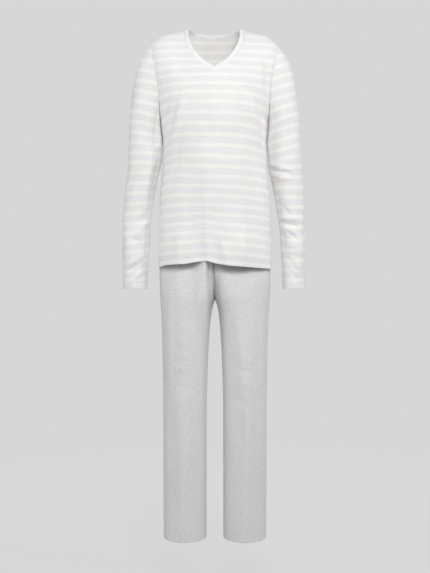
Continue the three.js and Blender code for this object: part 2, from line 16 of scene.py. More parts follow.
import bpy
import numpy as np
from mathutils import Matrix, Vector

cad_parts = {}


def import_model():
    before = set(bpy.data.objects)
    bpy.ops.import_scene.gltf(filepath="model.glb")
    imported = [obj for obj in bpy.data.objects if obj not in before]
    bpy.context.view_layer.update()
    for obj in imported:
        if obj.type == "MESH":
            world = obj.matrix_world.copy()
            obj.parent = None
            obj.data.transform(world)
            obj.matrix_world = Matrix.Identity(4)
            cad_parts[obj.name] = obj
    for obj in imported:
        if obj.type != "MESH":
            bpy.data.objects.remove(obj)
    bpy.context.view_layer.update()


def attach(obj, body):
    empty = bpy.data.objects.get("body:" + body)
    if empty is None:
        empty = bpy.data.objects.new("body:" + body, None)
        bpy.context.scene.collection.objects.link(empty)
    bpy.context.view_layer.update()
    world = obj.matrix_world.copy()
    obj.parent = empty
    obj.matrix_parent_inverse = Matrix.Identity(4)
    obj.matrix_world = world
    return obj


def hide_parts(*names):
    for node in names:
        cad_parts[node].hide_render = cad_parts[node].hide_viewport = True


LOG = logging.getLogger("pyjama_set")
BODY = "root"
MM = 0.001
UV_NAME = "cloth"
HALF_GAP = 0.15   # half of what lies between two pieces at a seam
ANGLE_GAP = 0.3   # where two pieces meet at an angle
STRIPE_PITCH = 28.0   # one stripe to the next on the UV map
FADE_IN = (-0.12, 0.3)   # where a fold comes up, in parts of its length
FADE_OUT = (0.75, 1.12)   # where it dies away
NOISE_ROUGHNESS = 0.55


def mix(a: np.ndarray | float, b: np.ndarray | float, part: np.ndarray | float) -> np.ndarray:
    """Goes from a to b by a part of the way."""
    return a + (b - a) * part


def smooth(value: np.ndarray | float, low: float, high: float) -> np.ndarray:
    """Rises from 0 to 1 between low and high, level at both ends."""
    t = np.clip((np.asarray(value, float) - low) / (high - low), 0.0, 1.0)
    return t * t * (3.0 - 2.0 * t)


def ease(p: np.ndarray, q: np.ndarray) -> np.ndarray:
    """The slope at a point between two stretches of slopes p and q, with no overshoot."""
    total = np.where(p + q == 0.0, 1.0, p + q)
    return np.where(p * q > 0.0, 2.0 * p * q / total, 0.0)


def hermite(a: np.ndarray, b: np.ndarray, rise: np.ndarray, fall: np.ndarray,
            part: np.ndarray) -> np.ndarray:
    """A cubic from a to b that leaves by the slope rise and arrives by the slope fall."""
    t, s = part, 1.0 - part
    return a * (1 + 2 * t) * s * s + b * (1 + 2 * s) * t * t + rise * t * s * s - fall * t * t * s


class Profile:
    """A smooth curve through a few sizes that were worked out at set places."""

    def __init__(self, rows: Sequence[tuple[float, float]]) -> None:
        """Keeps the rows in rising order, with the slope at each.

        Args:
            rows: pairs of a place and the size there.
        """
        table = np.array(sorted(rows), float)
        self.at, self.size = table[:, 0], table[:, 1]
        slope = np.diff(self.size) / np.diff(self.at)
        self.slope = np.concatenate((slope[:1], ease(slope[:-1], slope[1:]), slope[-1:]))

    def __call__(self, place: np.ndarray | float) -> np.ndarray:
        """The size at one place or many; past the ends it stays as it is there."""
        p = np.clip(np.asarray(place, float), self.at[0], self.at[-1])
        i = np.clip(np.searchsorted(self.at, p, side="right") - 1, 0, len(self.at) - 2)
        span = self.at[i + 1] - self.at[i]
        return hermite(self.size[i], self.size[i + 1], self.slope[i] * span,
                       self.slope[i + 1] * span, (p - self.at[i]) / span)


def column(rows: Sequence[NamedTuple], name: str, key: str = "z") -> Profile:
    """One column of a table of sections as a smooth curve."""
    return Profile([(getattr(row, key), getattr(row, name)) for row in rows])


def between(points: np.ndarray, places: np.ndarray) -> np.ndarray:
    """Reads evenly numbered rows of points at places between them, with no overshoot.

    Args:
        points: the rows, along the first axis.
        places: where to read, from 0 to the number of rows less one.

    Returns:
        One row of points for each place.
    """
    step = np.diff(points, axis=0)
    slope = np.concatenate((step[:1], ease(step[:-1], step[1:]), step[-1:]))
    i = np.clip(np.floor(places).astype(int), 0, len(points) - 2)
    part = (places - i).reshape(-1, *([1] * (points.ndim - 1)))
    return hermite(points[i], points[i + 1], slope[i], slope[i + 1], part)


def fine(count: int, parts: int, edge: Sequence[float] = ()) -> np.ndarray:
    """Places along count steps, each cut in parts, with extra ones near the start."""
    even = np.linspace(0.0, count, count * parts + 1)
    return np.unique(np.concatenate((even, np.asarray(edge, float))))


def unit(vectors: np.ndarray) -> np.ndarray:
    """The same directions at length one."""
    length = np.linalg.norm(vectors, axis=-1, keepdims=True)
    return vectors / np.where(length == 0.0, 1.0, length)


def run_length(points: np.ndarray, axis: int) -> np.ndarray:
    """The distance walked along a grid's rows or columns up to each point."""
    steps = np.linalg.norm(np.diff(points, axis=axis), axis=-1)
    start = np.zeros_like(np.take(steps, [0], axis=axis))
    return np.concatenate((start, np.cumsum(steps, axis=axis)), axis=axis)


@dataclass(frozen=True)
class Fold:
    """A soft ridge between two points of a front view, or a trough where lift is below zero.

    The spread is how far it reaches to each side, and east is its spread on the +X side where
    that side is steeper or softer.
    """

    x1: float
    z1: float
    x2: float
    z2: float
    spread: float
    lift: float
    east: float = 0.0

    def at(self, x: np.ndarray, z: np.ndarray) -> np.ndarray:
        """How far the fold lifts the cloth at each place."""
        ax, az = self.x2 - self.x1, self.z2 - self.z1
        length = math.hypot(ax, az)
        t = ((x - self.x1) * ax + (z - self.z1) * az) / length ** 2
        away = ((x - self.x1) * az - (z - self.z1) * ax) / length * math.copysign(1.0, az)
        spread = np.where(away > 0.0, self.east or self.spread, self.spread)
        taper = smooth(t, *FADE_IN) * (1.0 - smooth(t, *FADE_OUT))
        return self.lift * taper * np.exp(-((away / spread) ** 2))


def lifts(folds: Sequence[Fold], x: np.ndarray, z: np.ndarray) -> np.ndarray:
    """What a list of folds does together at each place."""
    return sum((fold.at(x, z) for fold in folds), np.zeros(np.broadcast(x, z).shape))


@dataclass(frozen=True)
class Slack:
    """The small unevenness of hanging cloth: long soft waves, each a little off plumb."""

    height: float = 0.55
    across: float = 46.0
    along: float = 240.0
    waves: int = 9
    seed: int = 3
    vary_across: tuple[float, float] = (0.55, 1.9)
    vary_along: tuple[float, float] = (0.5, 1.6)

    def at(self, x: np.ndarray, z: np.ndarray) -> np.ndarray:
        """How far the unevenness lifts the cloth at each place."""
        draw = np.random.default_rng(self.seed)
        total = np.zeros(np.broadcast(x, z).shape)
        for _ in range(self.waves):
            wide = self.across * draw.uniform(*self.vary_across)
            tall = self.along * draw.uniform(*self.vary_along) * draw.choice((-1.0, 1.0))
            turn = draw.uniform(0.0, 2.0 * math.pi)
            total += np.sin(2.0 * math.pi * (x / wide + z / tall) + turn)
        return total * self.height / math.sqrt(self.waves)


class Cloth:
    """A sheet of cloth that is put together from grids of outer points."""

    def __init__(self, name: str) -> None:
        """Starts an empty sheet of that name."""
        self.name = name
        self.count = 0
        self.points: list[np.ndarray] = []
        self.walls: list[np.ndarray] = []
        self.sinks: list[np.ndarray] = []
        self.rolls: list[np.ndarray] = []
        self.faces: list[np.ndarray] = []
        self.places: list[np.ndarray] = []
        self.fixes: list[tuple[np.ndarray, np.ndarray]] = []
        self.hems: list[Hem] = []
        self.given: np.ndarray | None = None

    def add(self, points: np.ndarray, wall: np.ndarray | float, sink: np.ndarray | float = 0.0,
            roll: np.ndarray | float = 0.0) -> np.ndarray:
        """Adds a grid of outer points.

        Args:
            points: rows and columns of points, in millimetres.
            wall: the thickness of the cloth at each.
            sink: how far its outer face is drawn in, at a seam or a line of stitches.
            roll: how far both faces are drawn together, at a folded edge.

        Returns:
            The number of each point, as a grid.
        """
        shape = points.shape[:-1]
        numbers = np.arange(self.count, self.count + int(np.prod(shape))).reshape(shape)
        self.count += numbers.size
        self.points.append(points.reshape(-1, 3))
        for kept, given in ((self.walls, wall), (self.sinks, sink), (self.rolls, roll)):
            kept.append(np.broadcast_to(given, shape).ravel())
        return numbers

    def fix(self, numbers: np.ndarray, own: np.ndarray) -> None:
        """Keeps the wall at a seam from leaning over to the other piece.

        Args:
            numbers: the points of the seam.
            own: the way to this piece's own side, one for all or one for each.
        """
        flat = numbers.ravel()
        self.fixes.append((flat, np.broadcast_to(own, (flat.size, 3))))

    def grid(self, numbers: np.ndarray, places: np.ndarray) -> None:
        """Lays faces over a grid whose rows go up and whose columns go right, seen from outside.

        Args:
            numbers: the points' numbers.
            places: the place of each point on the cloth, along the course and up the wale.
        """
        def corners(of: np.ndarray) -> np.ndarray:
            """The four corners of each face."""
            return np.stack((of[:-1, :-1], of[:-1, 1:], of[1:, 1:], of[1:, :-1]), axis=2)

        self.faces.append(corners(numbers).reshape(-1, 4))
        self.places.append(corners(places).reshape(-1, 4, 2))

    def normals(self) -> np.ndarray:
        """The outward direction at each point, drawn to its own side at seams."""
        points, faces = np.concatenate(self.points), np.concatenate(self.faces)
        a, b, c, d = (points[faces[:, k]] for k in range(4))
        area = np.cross(c - a, d - b)
        sums = np.zeros((self.count, 3))
        for k in range(4):
            np.add.at(sums, faces[:, k], area)
        sums = unit(sums)
        for numbers, own in self.fixes:
            over = np.maximum(0.0, np.sum(sums[numbers] * own, axis=1))
            sums[numbers] = unit(sums[numbers] - own * over[:, None])
        return sums

    def hem_lines(self, height: float) -> list[tuple[np.ndarray, np.ndarray]]:
        """The lines on the outer face at a height above the hem: their points and normals."""
        normals = self.normals()
        outer = np.concatenate(self.points) - normals * np.concatenate(self.sinks)[:, None]
        lines = []
        for numbers, above in self.hems:
            above = np.broadcast_to(above, numbers.shape)
            count = np.arange(numbers.shape[1])
            row = np.argmax(above > height, axis=0)
            low, high = above[row - 1, count], above[row, count]
            part = ((height - low) / (high - low))[:, None]
            a, b = numbers[row - 1, count], numbers[row, count]
            lines.append((mix(outer[a], outer[b], part), unit(mix(normals[a], normals[b], part))))
        return lines

    def make(self) -> bpy.types.Object:
        """The closed wall as an object: both faces, and a rim along every open edge."""
        points = np.concatenate(self.points)
        normals = self.normals() if self.given is None else self.given
        wall, sink = np.concatenate(self.walls), np.concatenate(self.sinks)
        roll = np.concatenate(self.rolls)
        outer = points - normals * (sink + roll)[:, None]
        inner = points - normals * (wall - roll)[:, None]
        faces, places = np.concatenate(self.faces), np.concatenate(self.places)
        starts, ends = faces.ravel(), np.roll(faces, -1, axis=1).ravel()
        spots = places.reshape(-1, 2)
        next_spots = np.roll(places, -1, axis=1).reshape(-1, 2)
        open_edge = ~np.isin(starts * self.count + ends, ends * self.count + starts)
        a, b = starts[open_edge], ends[open_edge]
        sa, sb = spots[open_edge], next_spots[open_edge]
        rim = np.stack((b, a, a + self.count, b + self.count), axis=1)
        all_faces = np.concatenate((faces, faces[:, ::-1] + self.count, rim))
        all_places = np.concatenate((places, places[:, ::-1], np.stack((sb, sa, sa, sb), axis=1)))
        used, renumbered = np.unique(all_faces, return_inverse=True)
        mesh = bpy.data.meshes.new(self.name)
        corners = np.concatenate((outer, inner))[used] * MM
        mesh.from_pydata(corners.tolist(), [], renumbered.reshape(-1, 4).tolist())
        layer = mesh.uv_layers.new(name=UV_NAME)
        layer.data.foreach_set("uv", (all_places.reshape(-1, 2) * MM).astype(np.float32).ravel())
        piece = bpy.data.objects.new(self.name, mesh)
        bpy.context.scene.collection.objects.link(piece)
        smooth_shade(piece)
        return piece


def smooth_shade(piece: bpy.types.Object, angle: float = math.radians(50.0)) -> None:
    """Shades a piece smoothly, apart from edges sharper than the angle."""
    bpy.ops.object.select_all(action="DESELECT")
    piece.select_set(True)
    bpy.context.view_layer.objects.active = piece
    bpy.ops.object.shade_smooth_by_angle(angle=angle)
    piece.select_set(False)


@dataclass(frozen=True)
class Stitching:
    """Rows of lock stitches that lie on the cloth: each a short bowed bead of thread.

    A bead is measured at five stations, given in parts of its length. Its thickness there is in
    parts of its width, and its bow is how far it stands off the cloth.
    """

    pitch: float = 3.3
    length: float = 2.5
    width: float = 0.34
    proud: float = 0.12
    sides: int = 5
    stations: tuple[float, ...] = (-0.5, -0.38, 0.0, 0.38, 0.5)
    thickness: tuple[float, ...] = (0.25, 0.85, 1.0, 0.85, 0.25)
    bow: tuple[float, ...] = (-0.3, -0.05, 0.12, -0.05, -0.3)

    def beads(self, points: np.ndarray, normals: np.ndarray) -> np.ndarray:
        """The corners of all the stitches along one line.

        Args:
            points: the line on the cloth's face.
            normals: the outward direction at each point.

        Returns:
            For each stitch, its rings of corners.
        """
        steps = np.concatenate(([0.0], np.cumsum(np.linalg.norm(np.diff(points, axis=0), axis=1))))
        count = max(2, int((steps[-1] - self.pitch) / self.pitch))
        middle = (np.arange(count) + 0.5) * steps[-1] / count

        def read(rows: np.ndarray, at: np.ndarray) -> np.ndarray:
            """The rows' values at distances along the line."""
            return np.stack([np.interp(at, steps, rows[:, k]) for k in range(3)], axis=-1)

        thick = np.array(self.thickness) * self.width
        rise = self.proud + np.array(self.bow)
        at = middle[:, None] + np.array(self.stations)[None, :] * self.length
        centre, normal = read(points, at), unit(read(normals, at))
        along = unit(centre[:, -1:] - centre[:, :1])
        side = unit(np.cross(along, normal))
        turn = np.linspace(0.0, 2.0 * math.pi, self.sides, endpoint=False)
        ring = (side[:, :, None] * np.cos(turn)[None, None, :, None]
                + normal[:, :, None] * np.sin(turn)[None, None, :, None])
        lifted = centre + normal * rise[None, :, None]
        return lifted[:, :, None] + ring * thick[None, :, None, None]

    def make(self, name: str, lines: Sequence[tuple[np.ndarray, np.ndarray]]) -> bpy.types.Object:
        """Sews along each line and joins the stitches in one piece.

        Args:
            name: the piece's name.
            lines: the points and normals of each line.

        Returns:
            The piece.
        """
        beads = np.concatenate([self.beads(points, normals) for points, normals in lines])
        count, rings, sides = beads.shape[:3]
        first = (np.arange(count) * rings * sides)[:, None, None]
        ring = (np.arange(rings - 1) * sides)[None, :, None]
        corner = np.arange(sides)[None, None, :]
        after = (corner + 1) % sides
        walls = np.stack((first + ring + corner, first + ring + after,
                          first + ring + sides + after, first + ring + sides + corner), axis=-1)
        caps = np.arange(sides)[None, :] + first[:, 0]
        ends = caps + (rings - 1) * sides
        faces = walls.reshape(-1, 4).tolist() + caps[:, ::-1].tolist() + ends.tolist()
        mesh = bpy.data.meshes.new(name)
        mesh.from_pydata((beads.reshape(-1, 3) * MM).tolist(), [], faces)
        piece = bpy.data.objects.new(name, mesh)
        bpy.context.scene.collection.objects.link(piece)
        smooth_shade(piece, math.radians(80.0))
        return piece


class Shader:
    """Adds and joins the nodes of one material."""

    def __init__(self, name: str) -> None:
        """Starts a material of that name with no nodes."""
        self.material = bpy.data.materials.new(name)
        self.material.use_nodes = True
        self.tree = self.material.node_tree
        self.tree.nodes.clear()

    def add(self, kind: str, inputs: dict | None = None, **settings: object) -> bpy.types.Node:
        """Adds a node.

        Args:
            kind: the node's type, without its ShaderNode prefix.
            inputs: values or sockets for its inputs, by name or number.
            settings: its own settings.

        Returns:
            The node.
        """
        node = self.tree.nodes.new(f"ShaderNode{kind}")
        for name, value in settings.items():
            setattr(node, name, value)
        for name, value in (inputs or {}).items():
            if isinstance(value, bpy.types.NodeSocket):
                self.tree.links.new(value, node.inputs[name])
            else:
                node.inputs[name].default_value = value
        return node

    def math(self, operation: str, a: object, b: object = 0.0,
             c: object = 0.0) -> bpy.types.NodeSocket:
        """One step of arithmetic on sockets or numbers."""
        return self.add("Math", {0: a, 1: b, 2: c}, operation=operation).outputs[0]

    def spread(self, value: object, low: float, high: float, to_low: float = 0.0,
               to_high: float = 1.0, kind: str = "SMOOTHSTEP") -> bpy.types.NodeSocket:
        """Carries a range of values over to another."""
        inputs = {"Value": value, "From Min": low, "From Max": high,
                  "To Min": to_low, "To Max": to_high}
        return self.add("MapRange", inputs, interpolation_type=kind).outputs["Result"]

    def noise(self, place: bpy.types.NodeSocket, scale: tuple[float, float, float],
              detail: float = 2.0) -> bpy.types.NodeSocket:
        """A noise that is stretched by its scale along each way."""
        moved = self.add("VectorMath", {0: place, 1: scale}, operation="MULTIPLY").outputs[0]
        return self.add("TexNoise", {"Vector": moved, "Scale": 1.0, "Detail": detail,
                                     "Roughness": NOISE_ROUGHNESS}).outputs[0]

    def blend(self, part: object, a: object, b: object) -> bpy.types.NodeSocket:
        """Goes from colour a to colour b."""
        node = self.add("Mix", {0: part}, data_type="RGBA")
        for socket, value in ((node.inputs[6], a), (node.inputs[7], b)):
            if isinstance(value, bpy.types.NodeSocket):
                self.tree.links.new(value, socket)
            else:
                socket.default_value = value
        return node.outputs[2]


def shade_of(red: int, green: int, blue: int) -> tuple[float, float, float, float]:
    """A colour given as it looks on a screen, as the shader's own numbers."""
    def level(value: int) -> float:
        """One channel's own number."""
        part = value / 255.0
        return part / 12.92 if part <= 0.04045 else ((part + 0.055) / 1.055) ** 2.4
    return level(red), level(green), level(blue), 1.0


@dataclass(frozen=True)
class Jersey:
    """A fine melange jersey: pale flecked yarn in courses, with or without stripes.

    The place on the cloth comes from the piece's own UV map, in metres along the course and up
    the wale. Stripes lie where the place up the cloth is a whole number of pitches.
    """

    name: str
    light: tuple[float, float, float, float]
    dark: tuple[float, float, float, float]
    stripe: tuple[float, float, float, float] | None = None
    pitch: float = STRIPE_PITCH
    stripe_width: float = 10.5
    melange: float = 0.5
    wale: float = 1.05
    course: float = 0.85
    knit_depth: float = 0.07
    sheen: float = 0.4
    fleck: tuple[float, float, float] = (70.0, 900.0, 1.0)
    streak: tuple[float, float, float] = (16.0, 330.0, 1.0)
    cloud: tuple[float, float, float] = (9.0, 9.0, 1.0)
    cloud_shade: tuple[float, float] = (0.975, 1.02)
    waver: tuple[float, float, float] = (20.0, 60.0, 1.0)
    waver_height: float = 0.9
    stripe_blur: float = 0.035
    roughness: float = 0.93

    def make(self) -> bpy.types.Material:
        """Builds the material."""
        shader = Shader(self.name)
        place = shader.add("UVMap", uv_map=UV_NAME).outputs[0]
        parts = shader.add("SeparateXYZ", {0: place})
        along, up = parts.outputs[0], parts.outputs[1]
        flecks = shader.noise(place, self.fleck, 3.0)
        streaks = shader.noise(place, self.streak, 2.0)
        cloud = shader.noise(place, self.cloud, 2.0)
        yarn = shader.math("ADD", shader.math("MULTIPLY", flecks, 0.55),
                           shader.math("MULTIPLY", streaks, 0.45))
        spread = 0.5 - 0.35 * self.melange
        yarn = shader.spread(yarn, spread, 1.0 - spread)
        colour = shader.blend(yarn, self.dark, self.light)
        if self.stripe is not None:
            waver = shader.noise(place, self.waver)
            wobble = shader.spread(waver, 0.2, 0.8, -self.waver_height, self.waver_height)
            turns = shader.math("DIVIDE", shader.math("ADD", up, shader.math(
                "MULTIPLY", wobble, MM)), self.pitch * MM)
            near = shader.math("PINGPONG", turns, 0.5)
            half = 0.5 * self.stripe_width / self.pitch
            band = shader.spread(near, half + self.stripe_blur, half - self.stripe_blur)
            colour = shader.blend(band, colour, self.stripe)
        grey = shader.spread(cloud, 0.3, 0.7, *self.cloud_shade, "LINEAR")
        shaded = shader.add("VectorMath", {0: colour, 1: grey}, operation="MULTIPLY").outputs[0]
        wales = shader.math("SINE", shader.math("MULTIPLY", along, 2 * math.pi / (self.wale * MM)))
        courses = shader.math("SINE", shader.math("MULTIPLY", up,
                                                  2 * math.pi / (self.course * MM)))
        knit = shader.math("MULTIPLY_ADD", wales, 0.6, shader.math("MULTIPLY", courses, 0.4))
        height = shader.math("MULTIPLY_ADD", flecks, 1.2, knit)
        bump = shader.add("Bump", {"Height": height, "Strength": 0.5,
                                   "Distance": self.knit_depth * MM})
        skin = shader.add("BsdfPrincipled", {
            "Base Color": shaded, "Roughness": self.roughness, "Normal": bump.outputs[0],
            "Sheen Weight": self.sheen, "Sheen Roughness": 0.6, "Specular IOR Level": 0.25,
        })
        shader.add("OutputMaterial", {"Surface": skin.outputs[0]})
        return shader.material


STRIPED_JERSEY = Jersey("striped_jersey", shade_of(239, 237, 238), shade_of(227, 225, 226),
                        shade_of(242, 241, 237))
BAND_JERSEY = Jersey("band_jersey", shade_of(245, 244, 243), shade_of(238, 236, 236))
PLAIN_JERSEY = Jersey("plain_jersey", shade_of(225, 223, 225), shade_of(213, 211, 213),
                      melange=0.24, fleck=(320.0, 800.0, 1.0), streak=(110.0, 200.0, 1.0))


@dataclass(frozen=True)
class Thread:
    """The finish of sewing thread."""

    name: str = "sewing_thread"
    colour: tuple[float, float, float, float] = shade_of(226, 224, 226)
    ply: float = 900.0
    roughness: float = 0.6

    def make(self) -> bpy.types.Material:
        """Builds the material."""
        shader = Shader(self.name)
        place = shader.add("TexCoord").outputs["Object"]
        ply = shader.spread(shader.noise(place, (self.ply,) * 3), 0.3, 0.7, 0.86, 1.0)
        shaded = shader.add("VectorMath", {0: self.colour[:3], 1: ply},
                            operation="MULTIPLY").outputs[0]
        skin = shader.add("BsdfPrincipled", {"Base Color": shaded, "Roughness": self.roughness})
        shader.add("OutputMaterial", {"Surface": skin.outputs[0]})
        return shader.material


class Side(Enum):
    """The wearer's left or right, as the sign of X."""

    LEFT = 1
    RIGHT = -1

    @property
    def word(self) -> str:
        """The side's name, as the solids have it."""
        return self.name.lower()


class Half(Enum):
    """The front or the back of the garment, as the sign of Y."""

    FRONT = -1
    BACK = 1

    @property
    def word(self) -> str:
        """The half's name, as the solids have it."""
        return self.name.lower()


class BodySection(NamedTuple):
    """One level of the top: half its width, its depth each way, and how round it is."""

    z: float
    width: float
    front: float
    back: float
    bend: float


class ArmSection(NamedTuple):
    """One ring of a sleeve: its middle, and half its width and depth."""

    z: float
    x: float
    y: float
    width: float
    depth: float


class LegSection(NamedTuple):
    """One level of the trousers: outer and inner reach, depth each way and the inside's crown."""

    z: float
    width: float
    gap: float
    front: float
    back: float
    crown: float


@dataclass(frozen=True)
class Wall:
    """How thick the cloth stands, and how a hem is turned up."""

    jersey: float = 1.4
    hem: float = 2.4
    turn: float = 20.0
    edge: float = 1.6
    edge_round: float = 0.96
    stitch_sink: float = 0.45
    stitch_spread: float = 1.3
    stitch_rows: tuple[float, float] = (16.5, 21.5)
    seam_sink: float = 0.4
    seam_spread: float = 2.6

    def thickness(self, above: np.ndarray) -> np.ndarray:
        """The wall at a height above the hem's edge."""
        return mix(self.hem, self.jersey, smooth(above, self.turn - 1.0, self.turn + 3.0))

    def roll(self, above: np.ndarray) -> np.ndarray:
        """How far both faces are drawn together close to the hem's folded edge."""
        near = np.clip(1.0 - above / self.edge, 0.0, 1.0)
        return 0.5 * self.hem * (1.0 - np.sqrt(1.0 - near ** 2 * self.edge_round))

    def stitched(self, above: np.ndarray) -> np.ndarray:
        """How far the hem's stitches draw the outer face in."""
        return sum(self.stitch_sink * np.exp(-(((above - row) / self.stitch_spread) ** 2))
                   for row in self.stitch_rows)

    def seamed(self, away: np.ndarray) -> np.ndarray:
        """How far a seam draws the outer face in, at a distance from it."""
        return self.seam_sink * np.exp(-((away / self.seam_spread) ** 2))


WALL = Wall()


class Hem(NamedTuple):
    """A grid of cloth with a hem: the numbers of its points, and how far each is above it."""

    numbers: np.ndarray
    above: np.ndarray


@dataclass(frozen=True)
class Stripes:
    """Where the stripes lie: their spacing in height, down from a first one."""

    first: float
    spacing: Sequence[tuple[float, float]]
    pitch: float = STRIPE_PITCH
    foot: float = -760.0
    head: float = 60.0
    steps: int = 821

    def place(self, z: np.ndarray) -> np.ndarray:
        """The place up the cloth, in pitches times the pitch, at each height."""
        levels = np.linspace(self.foot, self.head, self.steps)
        turns = np.cumsum(1.0 / Profile(self.spacing)(levels))
        zero = np.interp(self.first, levels, turns)
        return (np.interp(z, levels, turns) - zero) * self.pitch


class Panel(NamedTuple):
    """A panel of the top: its cloth, and the edges that other pieces are sewn to."""

    cloth: Cloth
    armhole: dict[Side, np.ndarray]
    neckline: dict[Side, np.ndarray]
    neck_normals: dict[Side, np.ndarray]


@dataclass
class Top:
    """The body of the top: a front with a V neck and a back."""

    foot: float = -677.0
    armpit: float = -270.0
    chest: float = -235.0
    columns: int = 11
    neck_column: int = 5
    body_rows: int = 13
    chest_rows: int = 5
    neck_rows: int = 6
    row_bow: float = 1.4
    tip_x: float = 186.0
    shoulder_slope: float = 0.25
    round_from: float = 140.0
    shoulder_round: float = 0.0118
    neck_edge: float = 73.5
    neck_seam_drop: float = 141.0
    neck_edge_drop: float = 125.0
    neck_curve: float = 2.35
    neck_top: float = 2.5
    back_drop: float = 13.0
    back_rise: float = 31.0
    back_curve: float = 2.2
    lean: float = 2.5
    front_middle: tuple[float, float] = (-662.0, -262.0)
    back_middle: tuple[float, float, float] = (-676.0, -256.0, -140.0)
    front_fall: tuple[float, float, float, float] = (1.6, 0.77, 2.3, 0.5)
    back_fall: tuple[float, float, float, float] = (2.4, 0.6, 2.6, 0.48)
    front_seam: tuple[int, float] = (0, 3.0)
    back_seam: tuple[int, float] = (2, 1.5)
    fold_end: float = 0.93
    fine_rows: int = 8
    fine_columns: int = 6
    hem_rows: Sequence[float] = (0.012, 0.028, 0.05, 0.085)
    sections: Sequence[BodySection] = (
        BodySection(20, 212, 112, 92, 0.45),
        BodySection(-52, 206, 112, 92, 0.45),
        BodySection(-100, 194, 112, 92, 0.45),
        BodySection(-151, 180, 113, 92, 0.45),
        BodySection(-200, 168, 114, 92, 0.45),
        BodySection(-235, 160, 115, 91, 0.46),
        BodySection(-270, 153, 114, 90, 0.47),
        BodySection(-342, 147, 110, 88, 0.46),
        BodySection(-390, 148, 107, 90, 0.45),
        BodySection(-441, 153, 104, 95, 0.44),
        BodySection(-500, 157, 101, 103, 0.43),
        BodySection(-570, 159.5, 99, 112, 0.41),
        BodySection(-677, 161, 98, 117, 0.39),
    )
    armhole_edge: Sequence[tuple[float, float]] = (
        (-51, 186), (-71, 180), (-100, 174), (-128, 167),
        (-155, 160.5), (-200, 156), (-240, 154.5), (-270, 153),
    )
    front_hem: Sequence[tuple[float, float]] = (
        (-161, -677), (-128, -671), (-85, -669), (-52, -663.5), (-28, -660.5),
        (0, -667), (43, -674), (100, -678), (161, -682),
    )
    stripes: Stripes = Stripes(-312.5, (
        (-680, 25.3), (-600, 26.0), (-500, 25.8), (-450, 26.4), (-400, 27.9),
        (-340, 29.4), (-300, 30.2), (-240, 30.0), (-200, 26.6), (-150, 24.2), (-100, 24.0),
        (0, 25.0),
    ))
    droop_right: Sequence[tuple[float, float]] = (
        (-680, 4), (-500, 6), (-390, 8), (-350, 19), (-310, 20), (-253, 19), (-200, 17),
        (-165, 12), (-120, 7), (0, 1),
    )
    droop_left: Sequence[tuple[float, float]] = (
        (-680, 4), (-500, 6), (-400, 5), (-350, 14), (-300, 22), (-253, 24), (-200, 22),
        (-165, 13), (-120, 8), (0, 1),
    )
    lift_right: Sequence[tuple[float, float]] = (
        (-640, -1.5), (-560, 1), (-508, 5), (-453, 12), (-400, 15.5), (-343, 16), (-253, 11),
        (-165, 6), (-100, 5),
    )
    sag_left: Sequence[tuple[float, float]] = (
        (-640, 11), (-590, 9.6), (-535, 6), (-460, 5), (-400, 3), (-330, 1.5), (-250, 0),
    )
    hem_lift: Fold = Fold(-32, -500, -32, -780, 35, 5)

    def __post_init__(self) -> None:
        """Turns the tables into curves."""
        self.neck_point = self.tip_x * self.neck_column / self.columns
        self.width = column(self.sections, "width")
        self.depth = {half: column(self.sections, half.word) for half in Half}
        self.bend = column(self.sections, "bend")
        self.armhole = Profile(self.armhole_edge)
        self.hem = Profile(self.front_hem)
        self.rows = self.body_rows + self.chest_rows + self.neck_rows
        self.neck_row = self.body_rows + self.chest_rows
        self.row_places = fine(self.rows, self.fine_rows, self.hem_rows)
        self.column_places = fine(self.columns, self.fine_columns)

    def shoulder_line(self, x: np.ndarray, half: Half) -> np.ndarray:
        """The shoulder seam's height, and its run on over the neck."""
        out = np.abs(x)
        drop = (self.shoulder_slope * (out - self.neck_point)
                + self.shoulder_round * np.maximum(0.0, out - self.round_from) ** 2)
        over_neck = self.back_rise * np.maximum(0.0, 1.0 - (out / self.neck_point) ** 2)
        return (over_neck if half is Half.BACK else 0.0) - drop - self.neck_top

    def body_depth(self, half: Half, x: np.ndarray, z: np.ndarray) -> np.ndarray:
        """How far the cloth lies before or behind the side seams."""
        width = self.width(z)
        across = np.maximum(0.0, 1.0 - (x / width) ** 2) ** self.bend(z)
        full = self.depth[half](np.minimum(z, self.chest)) * across
        neck_rise, neck_fall, tip_rise, tip_fall = (
            self.front_fall if half is Half.FRONT else self.back_fall)
        outward = smooth(np.abs(x), self.neck_edge, self.tip_x)
        t = np.clip((z - self.chest) / (self.shoulder_line(x, half) - self.chest), 0.0, 1.0)
        fall = (1.0 - t ** mix(neck_rise, tip_rise, outward)) ** mix(neck_fall, tip_fall, outward)
        return full * fall

    def leaned(self, points: np.ndarray) -> np.ndarray:
        """The points moved over by the slight lean of the shoulders."""
        moved = points.copy()
        moved[..., 0] -= self.lean * np.clip(1.0 - points[..., 2] / self.foot, 0.0, 1.0)
        return moved

    def neck_seam(self, z: np.ndarray) -> np.ndarray:
        """Half the width of the V at the neck seam."""
        t = np.clip((z + self.neck_top) / (self.neck_top - self.neck_seam_drop), 0.0, 1.0)
        return self.neck_point * (1.0 - t ** self.neck_curve)

